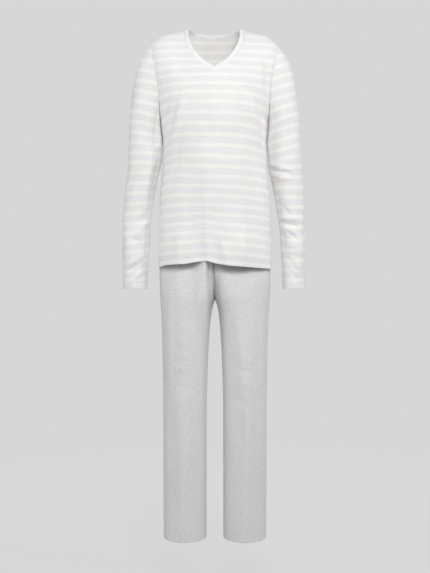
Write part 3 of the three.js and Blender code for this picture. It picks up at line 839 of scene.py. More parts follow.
    def frame_half(self, half: Half, side: Side) -> np.ndarray:
        """The points of one half of a panel's frame, the same as its solid's, without folds."""
        row = np.arange(self.rows + 1.0)[:, None]
        part = (np.arange(self.columns + 1.0) / self.columns)[None, :]
        foot, armpit, point, up = (
            (*self.front_middle, -self.neck_seam_drop, -self.neck_top) if half is Half.FRONT
            else (*self.back_middle, -self.back_drop))
        tip = float(self.shoulder_line(np.float64(self.tip_x), Half.FRONT))
        stops = (0.0, self.body_rows, self.neck_row, self.rows)
        outer = np.interp(row, (0.0, self.body_rows, self.rows), (self.foot, self.armpit, tip))
        inner = np.interp(row, stops, (foot, armpit, point, up))
        width = self.width(outer)
        edge = np.where(outer < self.armpit, width, self.armhole(outer))
        on_neckline = (row > self.neck_row) & (half is Half.FRONT)
        start = np.where(on_neckline, self.neck_seam(inner), 0.0)
        turn = mix(np.arcsin(start / width), np.arcsin(np.minimum(1.0, edge / width)), part)
        x = mix(width * np.sin(turn), mix(start, edge, part),
                smooth(row, self.body_rows, self.rows - 1))
        lead, pace = self.front_seam if half is Half.FRONT else self.back_seam
        seam = self.shoulder_line(x, half)
        if half is Half.BACK:
            rise = self.back_drop - self.neck_top
            neck = rise * (x / self.neck_point) ** self.back_curve - self.back_drop
            seam = np.where(x <= self.neck_point + 1e-6, neck, seam)
        level = mix(inner, outer, part ** self.row_bow)
        z = mix(level, seam, smooth(row, self.neck_row - lead, self.rows) ** pace)
        if half is Half.FRONT:
            hem = self.hem(side.value * x) + outer - self.foot
            z = mix(hem, z, smooth(row, 0, self.body_rows))
            z = np.where(on_neckline & (part == 0.0), inner, z)
        y = np.maximum(HALF_GAP, self.body_depth(half, x, z))
        at_neck = (half is Half.BACK) & (np.arange(self.columns + 1)[None, :] < self.neck_column)
        seamed = ((row == self.rows) & ~at_neck) | ((part == 1.0) & (row <= self.body_rows))
        y = np.where(seamed, HALF_GAP, y)
        return np.stack((side.value * x, half.value * y, z), axis=-1)

    def half_grid(self, half: Half, side: Side) -> np.ndarray:
        """One half of a panel as a fine smooth grid, without folds."""
        own = self.frame_half(half, side)
        other = self.frame_half(half, Side(-side.value))
        before = np.where((np.arange(self.rows + 1) > self.neck_row)[:, None]
                          & (half is Half.FRONT), 2.0 * own[:, 0] - own[:, 1], other[:, 1])
        wide = np.concatenate((before[:, None], own), axis=1)
        across = between(wide.swapaxes(0, 1), self.column_places + 1.0).swapaxes(0, 1)
        return between(across, self.row_places)

    def stripe_place(self, x: np.ndarray, z: np.ndarray) -> np.ndarray:
        """The place up the cloth, which droops towards the sides and differs from side to side."""
        share = np.abs(x) / self.width(z)
        edge = np.where(x > 0.0, Profile(self.droop_left)(z), Profile(self.droop_right)(z))
        belly = np.where(x > 0.0, -Profile(self.sag_left)(z) * share ** 0.7,
                         Profile(self.lift_right)(z) * share ** 2 * (1.0 - share ** 6))
        return self.stripes.place(z + edge * share ** 4 - belly - self.hem_lift.at(x, z))

    def panel(self, half: Half, folds: Sequence[Fold], slack: Slack) -> Panel:
        """Builds the front or the back.

        Args:
            half: which of the two.
            folds: its folds.
            slack: its small unevenness.

        Returns:
            The panel, with the edges that other pieces follow.
        """
        cloth = Cloth(f"top_{half.word}_cloth")
        rows, columns = self.row_places[:, None], self.column_places[None, :]
        part = columns / self.columns
        numbers, armhole, neckline, spots = {}, {}, {}, {}
        own = np.array((0.0, half.value, 0.0))
        for side in Side:
            grid = self.half_grid(half, side)
            x, z = grid[..., 0], grid[..., 2]
            keep = smooth(self.rows - rows, 0.0, 2.0) * (1.0 - smooth(part, self.fold_end, 1.0))
            wave = slack.at(x, z) * smooth(part, 1.0, 0.9) * smooth(self.rows - rows, 0.0, 1.0)
            place = np.stack((side.value * (np.abs(x[:, :1]) + run_length(grid, 1)),
                              self.stripe_place(x, z)), axis=-1)
            grid[..., 1] += half.value * (keep * lifts(folds, x, z) + wave)
            above = z - (self.hem(x) if half is Half.FRONT else self.foot)
            edge = run_length(grid, 1)[:, -1:] - run_length(grid, 1)
            top = run_length(grid, 0)[-1:, :] - run_length(grid, 0)
            off_neck = (columns >= self.neck_column) | (half is Half.FRONT)
            sink = (WALL.stitched(above) + WALL.seamed(edge)
                    + np.where(off_neck, WALL.seamed(top), 0.0))
            grid = self.leaned(grid)
            numbers[side] = cloth.add(grid, WALL.thickness(above), sink, WALL.roll(above))
            cloth.hems.append(Hem(numbers[side], above))
            spots[side] = place
            armhole[side] = grid[self.row_places >= self.body_rows, -1]
        last = len(self.row_places) if half is Half.BACK else int(
            np.searchsorted(self.row_places, self.neck_row)) + 1
        numbers[Side.RIGHT][:last, 0] = numbers[Side.LEFT][:last, 0]
        for side in Side:
            rightward = (side is Side.LEFT) == (half is Half.FRONT)
            step = 1 if rightward else -1
            cloth.grid(numbers[side][:, ::step], spots[side][:, ::step])
            grid_rows = numbers[side]
            body = self.row_places <= self.body_rows
            cloth.fix(grid_rows[body, -1], own)
            free = self.neck_column if half is Half.BACK else 0
            cloth.fix(grid_rows[-1, self.column_places >= free], own)
            on_neck = self.row_places >= self.neck_row
            neckline[side] = (grid_rows[on_neck, 0] if half is Half.FRONT
                              else grid_rows[-1, self.column_places <= self.neck_column])
        normals, points = cloth.normals(), np.concatenate(cloth.points)
        return Panel(cloth, armhole, {s: points[neckline[s]] for s in Side},
                     {s: normals[neckline[s]] for s in Side})


@dataclass
class Sleeves:
    """The two long sleeves, from the armholes down to the cuffs."""

    bicep: float = -330.0
    cuff: float = -737.0
    cap_steps: int = 56
    arm_steps: int = 128
    around: int = 2
    start_top: float = 1.05
    start_bottom: float = 0.06
    start_reach: float = 0.75
    start_end: float = 10.0
    arc: float = 0.73          # of a sleeve's round for each degree
    slack_from: float = 40.0
    cuff_rows: Sequence[float] = (2.0, 1.2, 0.6, 0.25, 0.0)
    sections: tuple[tuple[Side, Sequence[ArmSection]], ...] = (
        (Side.RIGHT, (
            ArmSection(-330, 198.5, 2, 46.5, 50),
            ArmSection(-385, 201.5, 4, 46, 50),
            ArmSection(-433, 208, 5, 44, 48),
            ArmSection(-484, 215.8, 4, 42, 46),
            ArmSection(-547, 222, 0, 40.5, 43),
            ArmSection(-627, 224.3, -8, 38.5, 40),
            ArmSection(-684, 225.5, -14, 36, 38),
            ArmSection(-737, 225.8, -19, 33.5, 36),
        )),
        (Side.LEFT, (
            ArmSection(-330, 199.5, 2, 47, 50),
            ArmSection(-385, 203, 4, 46, 50),
            ArmSection(-433, 208.5, 5, 44.5, 48),
            ArmSection(-484, 213.5, 3, 41.5, 46),
            ArmSection(-547, 218.5, -2, 37.5, 42),
            ArmSection(-627, 222, -11, 34, 39),
            ArmSection(-684, 222.8, -17, 32.5, 37),
            ArmSection(-737, 222.6, -22, 31.5, 35),
        )),
    )

    def ring(self, front: Panel, back: Panel, side: Side) -> np.ndarray:
        """The armhole as one ring: up the front from the armpit and down the back."""
        up, down = front.armhole[side], back.armhole[side][::-1]
        flat = np.array((1.0, 0.0, 1.0))
        ring = np.concatenate((up[:1] * flat, up[1:-1], up[-1:] * flat, down[1:-1]))
        return ring[::self.around]

    def angles(self, ring: np.ndarray) -> np.ndarray:
        """The turn round the arm of each point: -180 at the armpit, -90 in front, 0 outside."""
        steps = np.linalg.norm(np.roll(ring, -1, axis=0) - ring, axis=1)
        half = len(ring) // 2
        front, back = steps[:half], steps[half:]
        part = np.concatenate((
            np.concatenate(([0.0], np.cumsum(front)[:-1])) / front.sum(),
            1.0 + np.concatenate(([0.0], np.cumsum(back)[:-1])) / back.sum(),
        ))
        return 180.0 * part - 180.0

    def arm_points(self, side: Side, angle: np.ndarray, z: np.ndarray, folds: Sequence[Fold],
                   lean: float, foot: float) -> np.ndarray:
        """Points of a sleeve below the upper arm.

        Args:
            side: which sleeve.
            angle: the turn round the arm, in degrees.
            z: the height.
            folds: the sleeve's folds, laid out flat.
            lean: how far the shoulders lean over.
            foot: the height where the lean ends.

        Returns:
            The points.
        """
        rows = dict(self.sections)[side]
        turn = np.radians(angle)
        lift = lifts(folds, angle * self.arc, z)
        x = column(rows, "x")(z) + (column(rows, "width")(z) + lift) * np.cos(turn)
        y = column(rows, "y")(z) + (column(rows, "depth")(z) + lift) * np.sin(turn)
        x = side.value * x - lean * np.clip(1.0 - z / foot, 0.0, 1.0)
        return np.stack(np.broadcast_arrays(x, y, z), axis=-1)

    def away(self, side: Side, angle: np.ndarray) -> np.ndarray:
        """Which way the sleeve leaves the armhole: outward at the shoulder, down at the armpit."""
        up = (1.0 + np.cos(np.radians(angle))) / 2.0
        out = side.value * mix(self.start_bottom, self.start_top, up)
        return unit(np.stack((out, np.zeros_like(out), -np.ones_like(out)), axis=-1))

    def sleeve(self, side: Side, ring: np.ndarray, folds: Sequence[Fold], slack: Slack,
               stripes: Stripes, tilt: Profile, cup: Profile, top: Top) -> Cloth:
        """Builds one sleeve.

        Args:
            side: which sleeve.
            ring: the armhole that it is sewn into.
            folds: its folds, laid out flat.
            slack: its small unevenness.
            stripes: where its stripes lie.
            tilt: how far the stripes rise outward, for each millimetre out from the middle.
            cup: how far they rise in front.
            top: the body that it belongs to.

        Returns:
            The cloth.
        """
        cloth = Cloth(f"sleeve_{side.word}_cloth")
        angle = self.angles(ring)
        away = self.away(side, angle)
        start = ring + away * ANGLE_GAP
        end = self.arm_points(side, angle, np.full_like(angle, self.bicep), folds,
                              top.lean, top.foot)
        below = self.arm_points(side, angle, np.full_like(angle, self.bicep - self.start_end),
                                folds, top.lean, top.foot)
        reach = np.linalg.norm(end - start, axis=1, keepdims=True)
        part = np.linspace(0.0, 1.0, self.cap_steps + 1)[:, None, None]
        cap = hermite(start, end, away * reach * self.start_reach, unit(below - end) * reach, part)
        levels = np.linspace(self.bicep, self.cuff, self.arm_steps + 1)[1:]
        levels = np.concatenate((levels[:-1], self.cuff + np.array(self.cuff_rows)))
        arm = self.arm_points(side, angle[None, :], levels[:, None], folds, top.lean, top.foot)
        grid = np.concatenate((cap, arm))
        along = run_length(grid, 0)
        z = grid[..., 2]
        turn = np.radians(angle)
        axis = np.stack((np.cos(turn) * side.value, np.sin(turn), np.zeros_like(turn)), axis=-1)
        fade = smooth(along, 0.0, self.slack_from)
        grid = grid + axis * (fade * slack.at(angle * self.arc * np.ones_like(z), z))[..., None]
        middle = column(dict(self.sections)[side], "x")(z)
        outward = side.value * grid[..., 0] - middle
        level = z - tilt(z) * outward + cup(z) * np.sin(turn)
        up = stripes.place(level)
        closed = np.concatenate((grid, grid[:, :1]), axis=1)
        spots = np.stack((run_length(closed, 1), np.concatenate((up, up[:, :1]), axis=1)), axis=-1)
        above = z - self.cuff
        sink = WALL.stitched(above) + WALL.seamed(along)
        numbers = cloth.add(grid, WALL.thickness(above), sink, WALL.roll(above))
        cloth.fix(numbers[0], away)
        numbers = np.concatenate((numbers, numbers[:, :1]), axis=1)
        cloth.hems.append(Hem(numbers[::-1], np.concatenate((above, above[:, :1]), axis=1)[::-1]))
        step = 1 if side is Side.LEFT else -1
        cloth.grid(numbers[::-1, ::step], spots[::-1, ::step])
        return cloth


@dataclass
class NeckBand:
    """The narrow folded band round the neck."""

    wall: float = 2.0
    puff: float = 0.45
    across: int = 9
    edge_round: float = 0.85
    band_height: float = 10.0
    band_flat: float = 0.7
    band_lean: float = 0.94

    def edge_vectors(self, top: Top, side: Side) -> tuple[np.ndarray, np.ndarray]:
        """How the band runs from the neck seam to its edge, for the front and for the back."""
        part = 1.0 - np.arange(top.neck_rows + 1.0) / top.neck_rows
        x = top.neck_edge * (1.0 - part ** top.neck_curve)
        z = -top.neck_edge_drop * part
        edge = np.stack((side.value * x, -top.body_depth(Half.FRONT, x, z), z), axis=-1)
        seam = top.leaned(top.frame_half(Half.FRONT, side)[top.neck_row:, 0])
        seam[-1, 1] = 0.0
        front = top.leaned(edge) - seam
        back_seam = top.leaned(top.frame_half(Half.BACK, side)[-1, :top.neck_column + 1])
        count = np.arange(top.neck_column + 1.0) / top.neck_column
        back_edge = back_seam.copy()
        back_edge[:, 2] += self.band_height * (1.0 - self.band_flat * count ** 2)
        back_edge[:, 0] *= top.neck_edge / top.neck_point
        back_edge[:, 1] *= self.band_lean
        return front, back_edge - back_seam

    def build(self, top: Top, front: Panel, back: Panel) -> Cloth:
        """Builds the band.

        Args:
            top: the body that it belongs to.
            front: its front panel.
            back: its back panel.

        Returns:
            The cloth.
        """
        cloth = Cloth("neck_band_cloth")
        seams, normals, runs = [], [], []
        for side in (Side.LEFT, Side.RIGHT):
            front_runs, back_runs = self.edge_vectors(top, side)
            rows = top.row_places[top.row_places >= top.neck_row] - top.neck_row
            columns = top.column_places[top.column_places <= top.neck_column]
            seam = front.neckline[side].copy()
            seam[-1, 1] = 0.0
            direction = front.neck_normals[side].copy()
            direction[-1] = unit(direction[-1] + back.neck_normals[side][-1])
            pieces = [
                (seam, direction, between(front_runs, rows)),
                (back.neckline[side][-2::-1], back.neck_normals[side][-2::-1],
                 between(back_runs, columns)[-2::-1]),
            ]
            for group, kept in zip(zip(*pieces), (seams, normals, runs)):
                line = np.concatenate(group)
                kept.append(line if side is Side.LEFT else line[-2:0:-1])
        seam, normal, run = (np.concatenate(kept) for kept in (seams, normals, runs))
        level = unit(run - normal * np.sum(run * normal, axis=1, keepdims=True))
        foot = seam + level * ANGLE_GAP
        edge = seam + run
        width = np.linalg.norm(edge - foot, axis=1)
        face = unit(normal - unit(run) * np.sum(normal * unit(run), axis=1, keepdims=True))
        part = np.linspace(0.0, 1.0, self.across)[:, None]
        turn = 0.5 - 0.5 * np.cos(math.pi * part)
        grid = foot[None] + (edge - foot)[None] * turn[..., None]
        bulge = self.puff * np.sin(math.pi * turn)
        facing = np.where(part[..., None] == 0.0, normal[None], face[None])
        grid = grid + facing * bulge[..., None]
        roll = 0.5 * self.wall * np.clip(np.abs(2.0 * turn - 1.0), 0.0, 1.0) ** 6 * self.edge_round
        numbers = cloth.add(grid, self.wall, 0.0, roll * np.ones(grid.shape[:2]))
        cloth.given = np.broadcast_to(facing, grid.shape).reshape(-1, 3)
        closed = np.concatenate((grid, grid[:, :1]), axis=1)
        up = np.broadcast_to(turn * width, grid.shape[:2])
        up = np.concatenate((up, up[:, :1]), axis=1)
        spots = np.stack((run_length(closed, 1), up), axis=-1)
        cloth.grid(np.concatenate((numbers, numbers[:, :1]), axis=1), spots)
        return cloth


@dataclass
class Trousers:
    """The trousers: four panels and the waistband."""

    waist_top: float = -480.0
    waist_foot: float = -515.0
    fork: float = -764.0
    foot: float = -1443.0
    seat_rows: int = 8
    leg_rows: int = 18
    pace: float = 0.85
    columns: int = 9
    hip_bend: float = 0.45
    divide_from: float = 610.0
    divide_to: float = 776.0
    rise_start: float = -640.0
    front_rise: float = 1.5
    back_rise: float = 2.4
    fold_start: float = 60.0
    seat_turn: tuple[float, float] = (2.2, 2.8)
    seat_rise: tuple[float, float] = (4.0, 34.0)
    fold_fade: float = 0.16
    slack_fade: float = 0.35
    cloth_width: float = 200.0
    fine_rows: int = 10
    fine_columns: int = 8
    hem_rows: Sequence[float] = (0.004, 0.012, 0.024, 0.04)
    elastic: float = 3.0
    gathers: int = 58
    gather_height: float = 1.1
    gather_points: int = 8
    band_rows: int = 13
    band_round: float = 0.4
    sections: Sequence[LegSection] = (
        LegSection(-480, 128, 0, 83, 82, 4),
        LegSection(-515, 130, 0, 84, 84, 4),
        LegSection(-560, 143, 0, 87, 94, 4),
        LegSection(-620, 156.2, 0, 86, 102, 4),
        LegSection(-676, 158, 0, 85.5, 105, 6),
        LegSection(-720, 157.4, 0, 86.5, 105, 5),
        LegSection(-764, 156, 0, 88, 103, 3.6),
        LegSection(-786, 154.6, 6, 86.5, 100, 3),
        LegSection(-812, 153, 11, 85, 97, 2.6),
        LegSection(-864, 151, 15.5, 83, 92, 2.2),
        LegSection(-940, 149.4, 19.5, 81, 87, 2),
        LegSection(-1054, 147.5, 22.8, 80, 84, 2),
        LegSection(-1200, 147, 23.4, 79, 82, 2),
        LegSection(-1443, 146, 23.6, 78, 80, 2),
    )

    def __post_init__(self) -> None:
        """Turns the table into curves."""
        self.width = column(self.sections, "width")
        self.gap = column(self.sections, "gap")
        self.crown = column(self.sections, "crown")
        self.reach = {half: column(self.sections, half.word) for half in Half}

    def depth(self, half: Half, out: np.ndarray, z: np.ndarray) -> np.ndarray:
        """How far the trousers lie before or behind the side seams."""
        width, gap = self.width(z), self.gap(z)
        hip = np.maximum(0.0, 1.0 - (out / width) ** 2) ** self.hip_bend
        middle, reach = (width + gap) / 2.0, (width - gap) / 2.0
        bend = self.front_rise if half is Half.FRONT else self.back_rise
        start = self.rise_start
        parted = np.clip((start - z) / (start - self.fork), 0.0, 1.0) ** bend
        s = np.minimum(1.0, np.abs(out - middle) / reach)
        leg = np.where(out > middle, np.sqrt(1.0 - s * s),
                       np.sqrt(np.maximum(0.0, 1.0 - parted * s ** self.crown(z))))
        return self.reach[half](z) * mix(hip, leg, smooth(-z, self.divide_from, self.divide_to))

    def panel(self, side: Side, half: Half, folds: Sequence[Fold], slack: Slack) -> Cloth:
        """Builds the front or back of one leg.

        Args:
            side: which leg.
            half: its front or its back.
            folds: the folds of both legs on that half.
            slack: the cloth's small unevenness.

        Returns:
            The cloth.
        """
        cloth = Cloth(f"trouser_{half.word}_{side.word}_cloth")
        row = fine(self.leg_rows + self.seat_rows, self.fine_rows, self.hem_rows)[:, None]
        place = fine(self.columns, self.fine_columns)[None, :]
        share = np.clip(row / self.leg_rows, 0.0, 1.0) ** self.pace
        climb = np.clip((row - self.leg_rows) / self.seat_rows, 0.0, 1.0)
        z = np.where(row <= self.leg_rows, mix(self.foot, self.fork, share),
                     mix(self.fork, self.waist_foot - 2.0 * HALF_GAP, climb))
        width, gap = self.width(z), self.gap(z)
        turn = math.pi * place / self.columns
        on_leg = (width + gap) / 2.0 + (width - gap) / 2.0 * np.cos(turn)
        divided = smooth(-z, self.divide_from, self.divide_to)
        out = np.maximum(HALF_GAP, mix(width * np.cos(turn / 2.0), on_leg, divided))
        z = z * np.ones_like(out)
        x = side.value * out
        low, high = self.seat_rise
        middle = smooth(turn, *self.seat_turn) * smooth(z, self.fork + low, self.fork + high)
        edge = np.maximum(smooth(np.sin(turn), 0.0, self.fold_fade), middle)
        full = smooth(-z, -self.waist_foot, self.fold_start - self.waist_foot)
        even = smooth(np.sin(turn), 0.0, self.slack_fade)
        lift = (lifts(folds, x, z) * edge + slack.at(x, z) * even) * full
        y = np.maximum(HALF_GAP, self.depth(half, out, z) + lift)
        sewn = (place == 0) | ((place == self.columns) & (row <= self.leg_rows))
        y = np.where(sewn, HALF_GAP, y)
        grid = np.stack((x, half.value * y, z), axis=-1)
        above = z - self.foot
        across = run_length(grid, 1)
        inside = across[:, -1:] - across
        sink = WALL.stitched(above) + WALL.seamed(across) + WALL.seamed(inside)
        numbers = cloth.add(grid, WALL.thickness(above), sink, WALL.roll(above))
        cloth.hems.append(Hem(numbers, above))
        own = np.array((0.0, half.value, 0.0))
        legs = row[:, 0] <= self.leg_rows
        cloth.fix(numbers[:, 0], own)
        cloth.fix(numbers[legs, -1], own)
        cloth.fix(numbers[row[:, 0] >= self.leg_rows, -1], np.array((side.value, 0.0, 0.0)))
        cloth.fix(numbers[-1], np.array((0.0, 0.0, -1.0)))
        up = run_length(grid, 0)
        spots = np.stack((side.value * (self.cloth_width - across), up), axis=-1)
        rightward = (half is Half.FRONT) == (side is Side.RIGHT)
        step = 1 if rightward else -1
        cloth.grid(numbers[:, ::step], spots[:, ::step])
        return cloth

    def waistband(self) -> Cloth:
        """Builds the elasticated band, gathered all round."""
        cloth = Cloth("waistband_cloth")
        points = self.gathers * self.gather_points
        turn = np.linspace(0.0, 2.0 * math.pi, points, endpoint=False)[None, :]
        z = np.linspace(self.waist_foot, self.waist_top, self.band_rows)[:, None]
        out = self.width(z) * np.cos(turn)
        depth = np.where(np.sin(turn) < 0.0, -self.depth(Half.FRONT, np.abs(out), z),
                         self.depth(Half.BACK, np.abs(out), z))
        level = (z - self.waist_foot) / (self.waist_top - self.waist_foot)
        swell = np.sin(math.pi * np.clip(level, 0.0, 1.0)) ** 0.7
        uneven = 0.35 * np.sin(7.0 * turn + 1.0) + 0.25 * np.sin(11.0 * turn)
        ripple = self.gather_height * np.cos(self.gathers * turn + uneven) * (0.5 + 0.5 * swell)
        grid = np.stack(np.broadcast_arrays(out, depth, z), axis=-1)
        way = unit(grid * np.array((1.0, 1.0, 0.0)))
        grid = grid + way * (ripple - self.gather_height)[..., None]
        rounding = self.band_round * self.elastic * np.abs(2.0 * level - 1.0) ** 8
        roll = rounding * np.ones(grid.shape[:2])
        numbers = cloth.add(grid, self.elastic, 0.0, roll)
        cloth.fix(numbers[0], np.array((0.0, 0.0, 1.0)))
        closed = np.concatenate((grid, grid[:, :1]), axis=1)
        up = (z - self.waist_foot) * np.ones(closed.shape[:2])
        spots = np.stack((run_length(closed, 1), up), axis=-1)
        cloth.grid(np.concatenate((numbers, numbers[:, :1]), axis=1), spots)
        return cloth


# The drag folds of the armpits, the flutes over the hem and the long soft waves of the front, then
# the shoulder blades and the hem of the back.
TOP_FOLDS = {
    Half.FRONT: (
        Fold(-146, -345, -106, -210, 8, -11, 11),
        Fold(-130, -350, -90, -210, 12, 6.5),
        Fold(-112, -420, -96, -330, 9, -3.5),
        Fold(120, -200, 143, -350, 10, -10, 8),
        Fold(104, -205, 127, -350, 12, 6),
        Fold(110, -430, 96, -330, 9, -3),
        Fold(148, -90, 141, -215, 8, -5),
        Fold(-92, -470, -104, -664, 22, 4),
        Fold(62, -500, 78, -672, 24, 4),
        Fold(5, -500, 3, -680, 17, -4.6),
        Fold(-102, -570, -108, -780, 34, 15),
        Fold(-40, -600, -42, -780, 16, -6),
        Fold(62, -570, 60, -790, 42, 17),
        Fold(132, -590, 142, -780, 14, -4),
        Fold(-152, -372, -112, -262, 6, -6, 11),
        Fold(-128, -216, -152, -330, 6, -6, 10),
        Fold(-108, -190, -134, -300, 8, 4.5),
        Fold(112, -240, 119, -300, 5, 5, 8),
        Fold(119, -296, 134, -392, 5, 5.5, 9),
        Fold(146, -196, 150, -290, 6, -5),
        Fold(8, -575, 31, -660, 10, 3.4),
        Fold(27, -610, 31, -790, 13, 5),
        Fold(83, -490, 86, -672, 7, 2.4),
        Fold(64, -560, 66, -668, 6, -2.2),
        Fold(-24, -470, -22, -650, 9, 2.6),
        Fold(-42, -470, -40, -650, 11, -1.6),
        Fold(-20, -330, -30, -520, 26, 1.6),
        Fold(36, -300, 40, -470, 22, -1.6),
        Fold(-62, -360, -70, -560, 18, -1.6),
        Fold(96, -400, 108, -600, 18, -2),
        Fold(132, -440, 140, -660, 12, 2),
        Fold(-134, -430, -142, -660, 12, 2),
    ),
    Half.BACK: (
        Fold(-96, -300, -40, -345, 16, 4),
        Fold(92, -312, 30, -352, 16, 4),
        Fold(-70, -440, -84, -668, 24, 5),
        Fold(4, -400, 8, -668, 22, -4),
        Fold(78, -450, 92, -668, 24, 5),
    ),
}

# The creases of the elbows and the wrinkles of the forearms, laid out flat: across is the way round
# the arm, -180 to 180 degrees by the sleeve's arc, with the front below zero.
SLEEVE_FOLDS = {
    Side.RIGHT: (
        Fold(-112, -342, -106, -700, 8, -3.6),
        Fold(-90, -676, -44, -714, 6, -3.2),
        Fold(-76, -650, -36, -686, 6, 2.8),
        Fold(-98, -612, -44, -592, 5, -2.8),
        Fold(-108, -530, -76, -560, 6, -3.2),
        Fold(-131.4, -262, -131.4, -400, 26, 4.2),
        Fold(131.4, -262, 131.4, -400, 26, 4.2),
        Fold(-113, -372, -113, -500, 13, -3.5),
        Fold(-86, -350, -86, -520, 14.5, 3),
        Fold(-44, -560, -44, -700, 16, 2.5),
        Fold(58, -380, 58, -560, 19, 3),
        Fold(-88, -322, -84, -500, 5, 3.8, 16),
        Fold(-118, -322, -86, -336, 4, -4.3),
        Fold(-96, -660, -40, -690, 6, -3.5),
        Fold(-100, -642, -44, -668, 7, 3.2),
        Fold(-92, -690, -46, -716, 7, 2.9),
        Fold(-60, -410, -20, -470, 9, -2.6),
        Fold(-104, -520, -60, -560, 8, -3.5),
        Fold(-108, -548, -58, -590, 8, 2.9),
        Fold(30, -430, 84, -452, 7, -3.8),
        Fold(34, -446, 90, -470, 8, 3.5),
        Fold(20, -600, 70, -640, 8, -3.2),
    ),
    Side.LEFT: (
        Fold(-60, -470, -20, -486, 7, -2.2),
        Fold(-52, -508, -16, -520, 6, 2.2),
        Fold(-56, -572, -18, -584, 6, -2.4),
        Fold(-50, -622, -16, -630, 6, 2.2),
        Fold(-100, -499, -66, -533, 5, -3.2),
        Fold(-75, -536, -25, -545, 6, 3),
        Fold(-98, -568, -52, -600, 5, -3.2),
        Fold(-84, -600, -25, -612, 6, 3),
        Fold(-75, -640, -25, -656, 5, -2.8),
        Fold(-72, -668, -28, -684, 6, 2.8),
        Fold(-84, -690, -50, -712, 5, -2.6),
        Fold(-108, -430, -104, -640, 8, -3),
        Fold(-131.4, -270, -131.4, -440, 26, 4.2),
        Fold(131.4, -270, 131.4, -440, 26, 4.2),
        Fold(-106, -350, -106, -450, 13, -3),
        Fold(-77, -392, -77, -520, 14.5, 3),
        Fold(-44, -530, -44, -690, 16, 2.5),
        Fold(73, -380, 73, -560, 19, 3),
        Fold(-124, -398, -58, -414, 4.5, -5.5),
        Fold(-120, -386, -56, -402, 6, 3.8),
        Fold(-120, -414, -62, -430, 7, 4.1),
        Fold(-112, -548, -44, -564, 6, -4.3),
        Fold(-112, -532, -48, -548, 8, 3.8),
        Fold(-108, -566, -50, -582, 8, 3.2),
        Fold(-104, -594, -38, -604, 5.5, -4.1),
        Fold(-100, -612, -44, -622, 8, 2.9),
        Fold(-96, -650, -60, -676, 8, -2.6),
        Fold(34, -418, 92, -440, 7, -4.1),
        Fold(36, -436, 90, -460, 8, 3.5),
        Fold(18, -560, 70, -590, 8, -3.2),
    ),
}

SLEEVE_STRIPES = {
    Side.RIGHT: Stripes(-301.0, (
        (-740, 26.8), (-600, 26.9), (-450, 28.4), (-400, 27.4), (-350, 26.9), (-300, 27.6),
        (-260, 29.2), (-200, 30.2), (-100, 30.4),
    )),
    Side.LEFT: Stripes(-314.5, (
        (-740, 25.3), (-690, 27.5), (-650, 29.3), (-615, 33.5), (-575, 31.5), (-545, 28.4),
        (-500, 27.5), (-450, 27.0), (-400, 26.5), (-350, 27.0), (-310, 29.2), (-250, 30.1),
        (-100, 29.9),
    )),
}
SLEEVE_TILTS = {
    Side.RIGHT: Profile((
        (-740, -0.1), (-640, -0.12), (-500, -0.06), (-400, 0.0), (-330, 0.1), (-260, 0.22),
        (-100, 0.28),
    )),
    Side.LEFT: Profile((
        (-740, 0.0), (-600, -0.03), (-450, 0.03), (-380, 0.16), (-300, 0.32), (-100, 0.4),
    )),
}
SLEEVE_CUP = Profile(((-740, -3.0), (-480, -3.0), (-360, 0.0)))

# The long creases of the legs, the wrinkles of the knees, the fold and the slit above the fork and
# the hollows under the hem of the top, then the back's.
TROUSER_FOLDS = {
    Half.FRONT: (
        Fold(-66, -670, -70, -850, 14, -3.5),
        Fold(74, -670, 78, -900, 15, -3),
        Fold(-88, -980, -92, -1420, 17, 4.5),
        Fold(92, -960, 90, -1420, 17, 4.5),
        Fold(-118, -1080, -116, -1430, 13, -3),
        Fold(120, -900, 118, -1400, 13, -3),
        Fold(-39, -790, -37, -1440, 11, 4),
        Fold(66, -925, 112, -944, 9, 1.8),
        Fold(58, -962, 98, -972, 8, -1.8),
        Fold(72, -998, 124, -1020, 9, 1.6),
        Fold(56, -1046, 92, -1058, 9, -1.5),
        Fold(-112, -900, -72, -912, 9, -1.6),
        Fold(-120, -948, -84, -966, 8, 1.6),
        Fold(-104, -1010, -60, -1020, 9, -1.5),
        Fold(-31, -590, -19, -860, 18, 7, 4),
        Fold(-19.5, -590, -11, -840, 4, -20, 10),
        Fold(-5.5, -560, -1.5, -830, 2.8, -20),
        Fold(2.5, -590, 3.5, -800, 4, -10, 13),
        Fold(-175, -662, -36, -658, 22, -24),
        Fold(-8, -662, 160, -672, 22, -28),
        Fold(-63, -560, -62, -790, 7, -4, 12),
        Fold(134, -770, 130, -1050, 7, 3, 12),
        Fold(-128, -700, -126, -1040, 9, 3),
        Fold(-46, -840, -54, -1120, 12, 2.4),
        Fold(52, -860, 58, -1160, 13, -2.4),
        Fold(-104, -620, -100, -760, 14, 3),
        Fold(100, -620, 104, -760, 14, 3),
    ),
    Half.BACK: (
        Fold(-60, -830, -72, -1000, 18, -4),
        Fold(60, -830, 74, -1010, 18, -4),
        Fold(-86, -1000, -90, -1420, 19, 5),
        Fold(88, -1010, 88, -1420, 19, 5),
    ),
}


class Lamp(NamedTuple):
    """A soft square light: where it hangs, the point it faces, its side and its power in watts."""

    name: str
    place: tuple[float, float, float]
    aim: tuple[float, float, float]
    size: float
    power: float


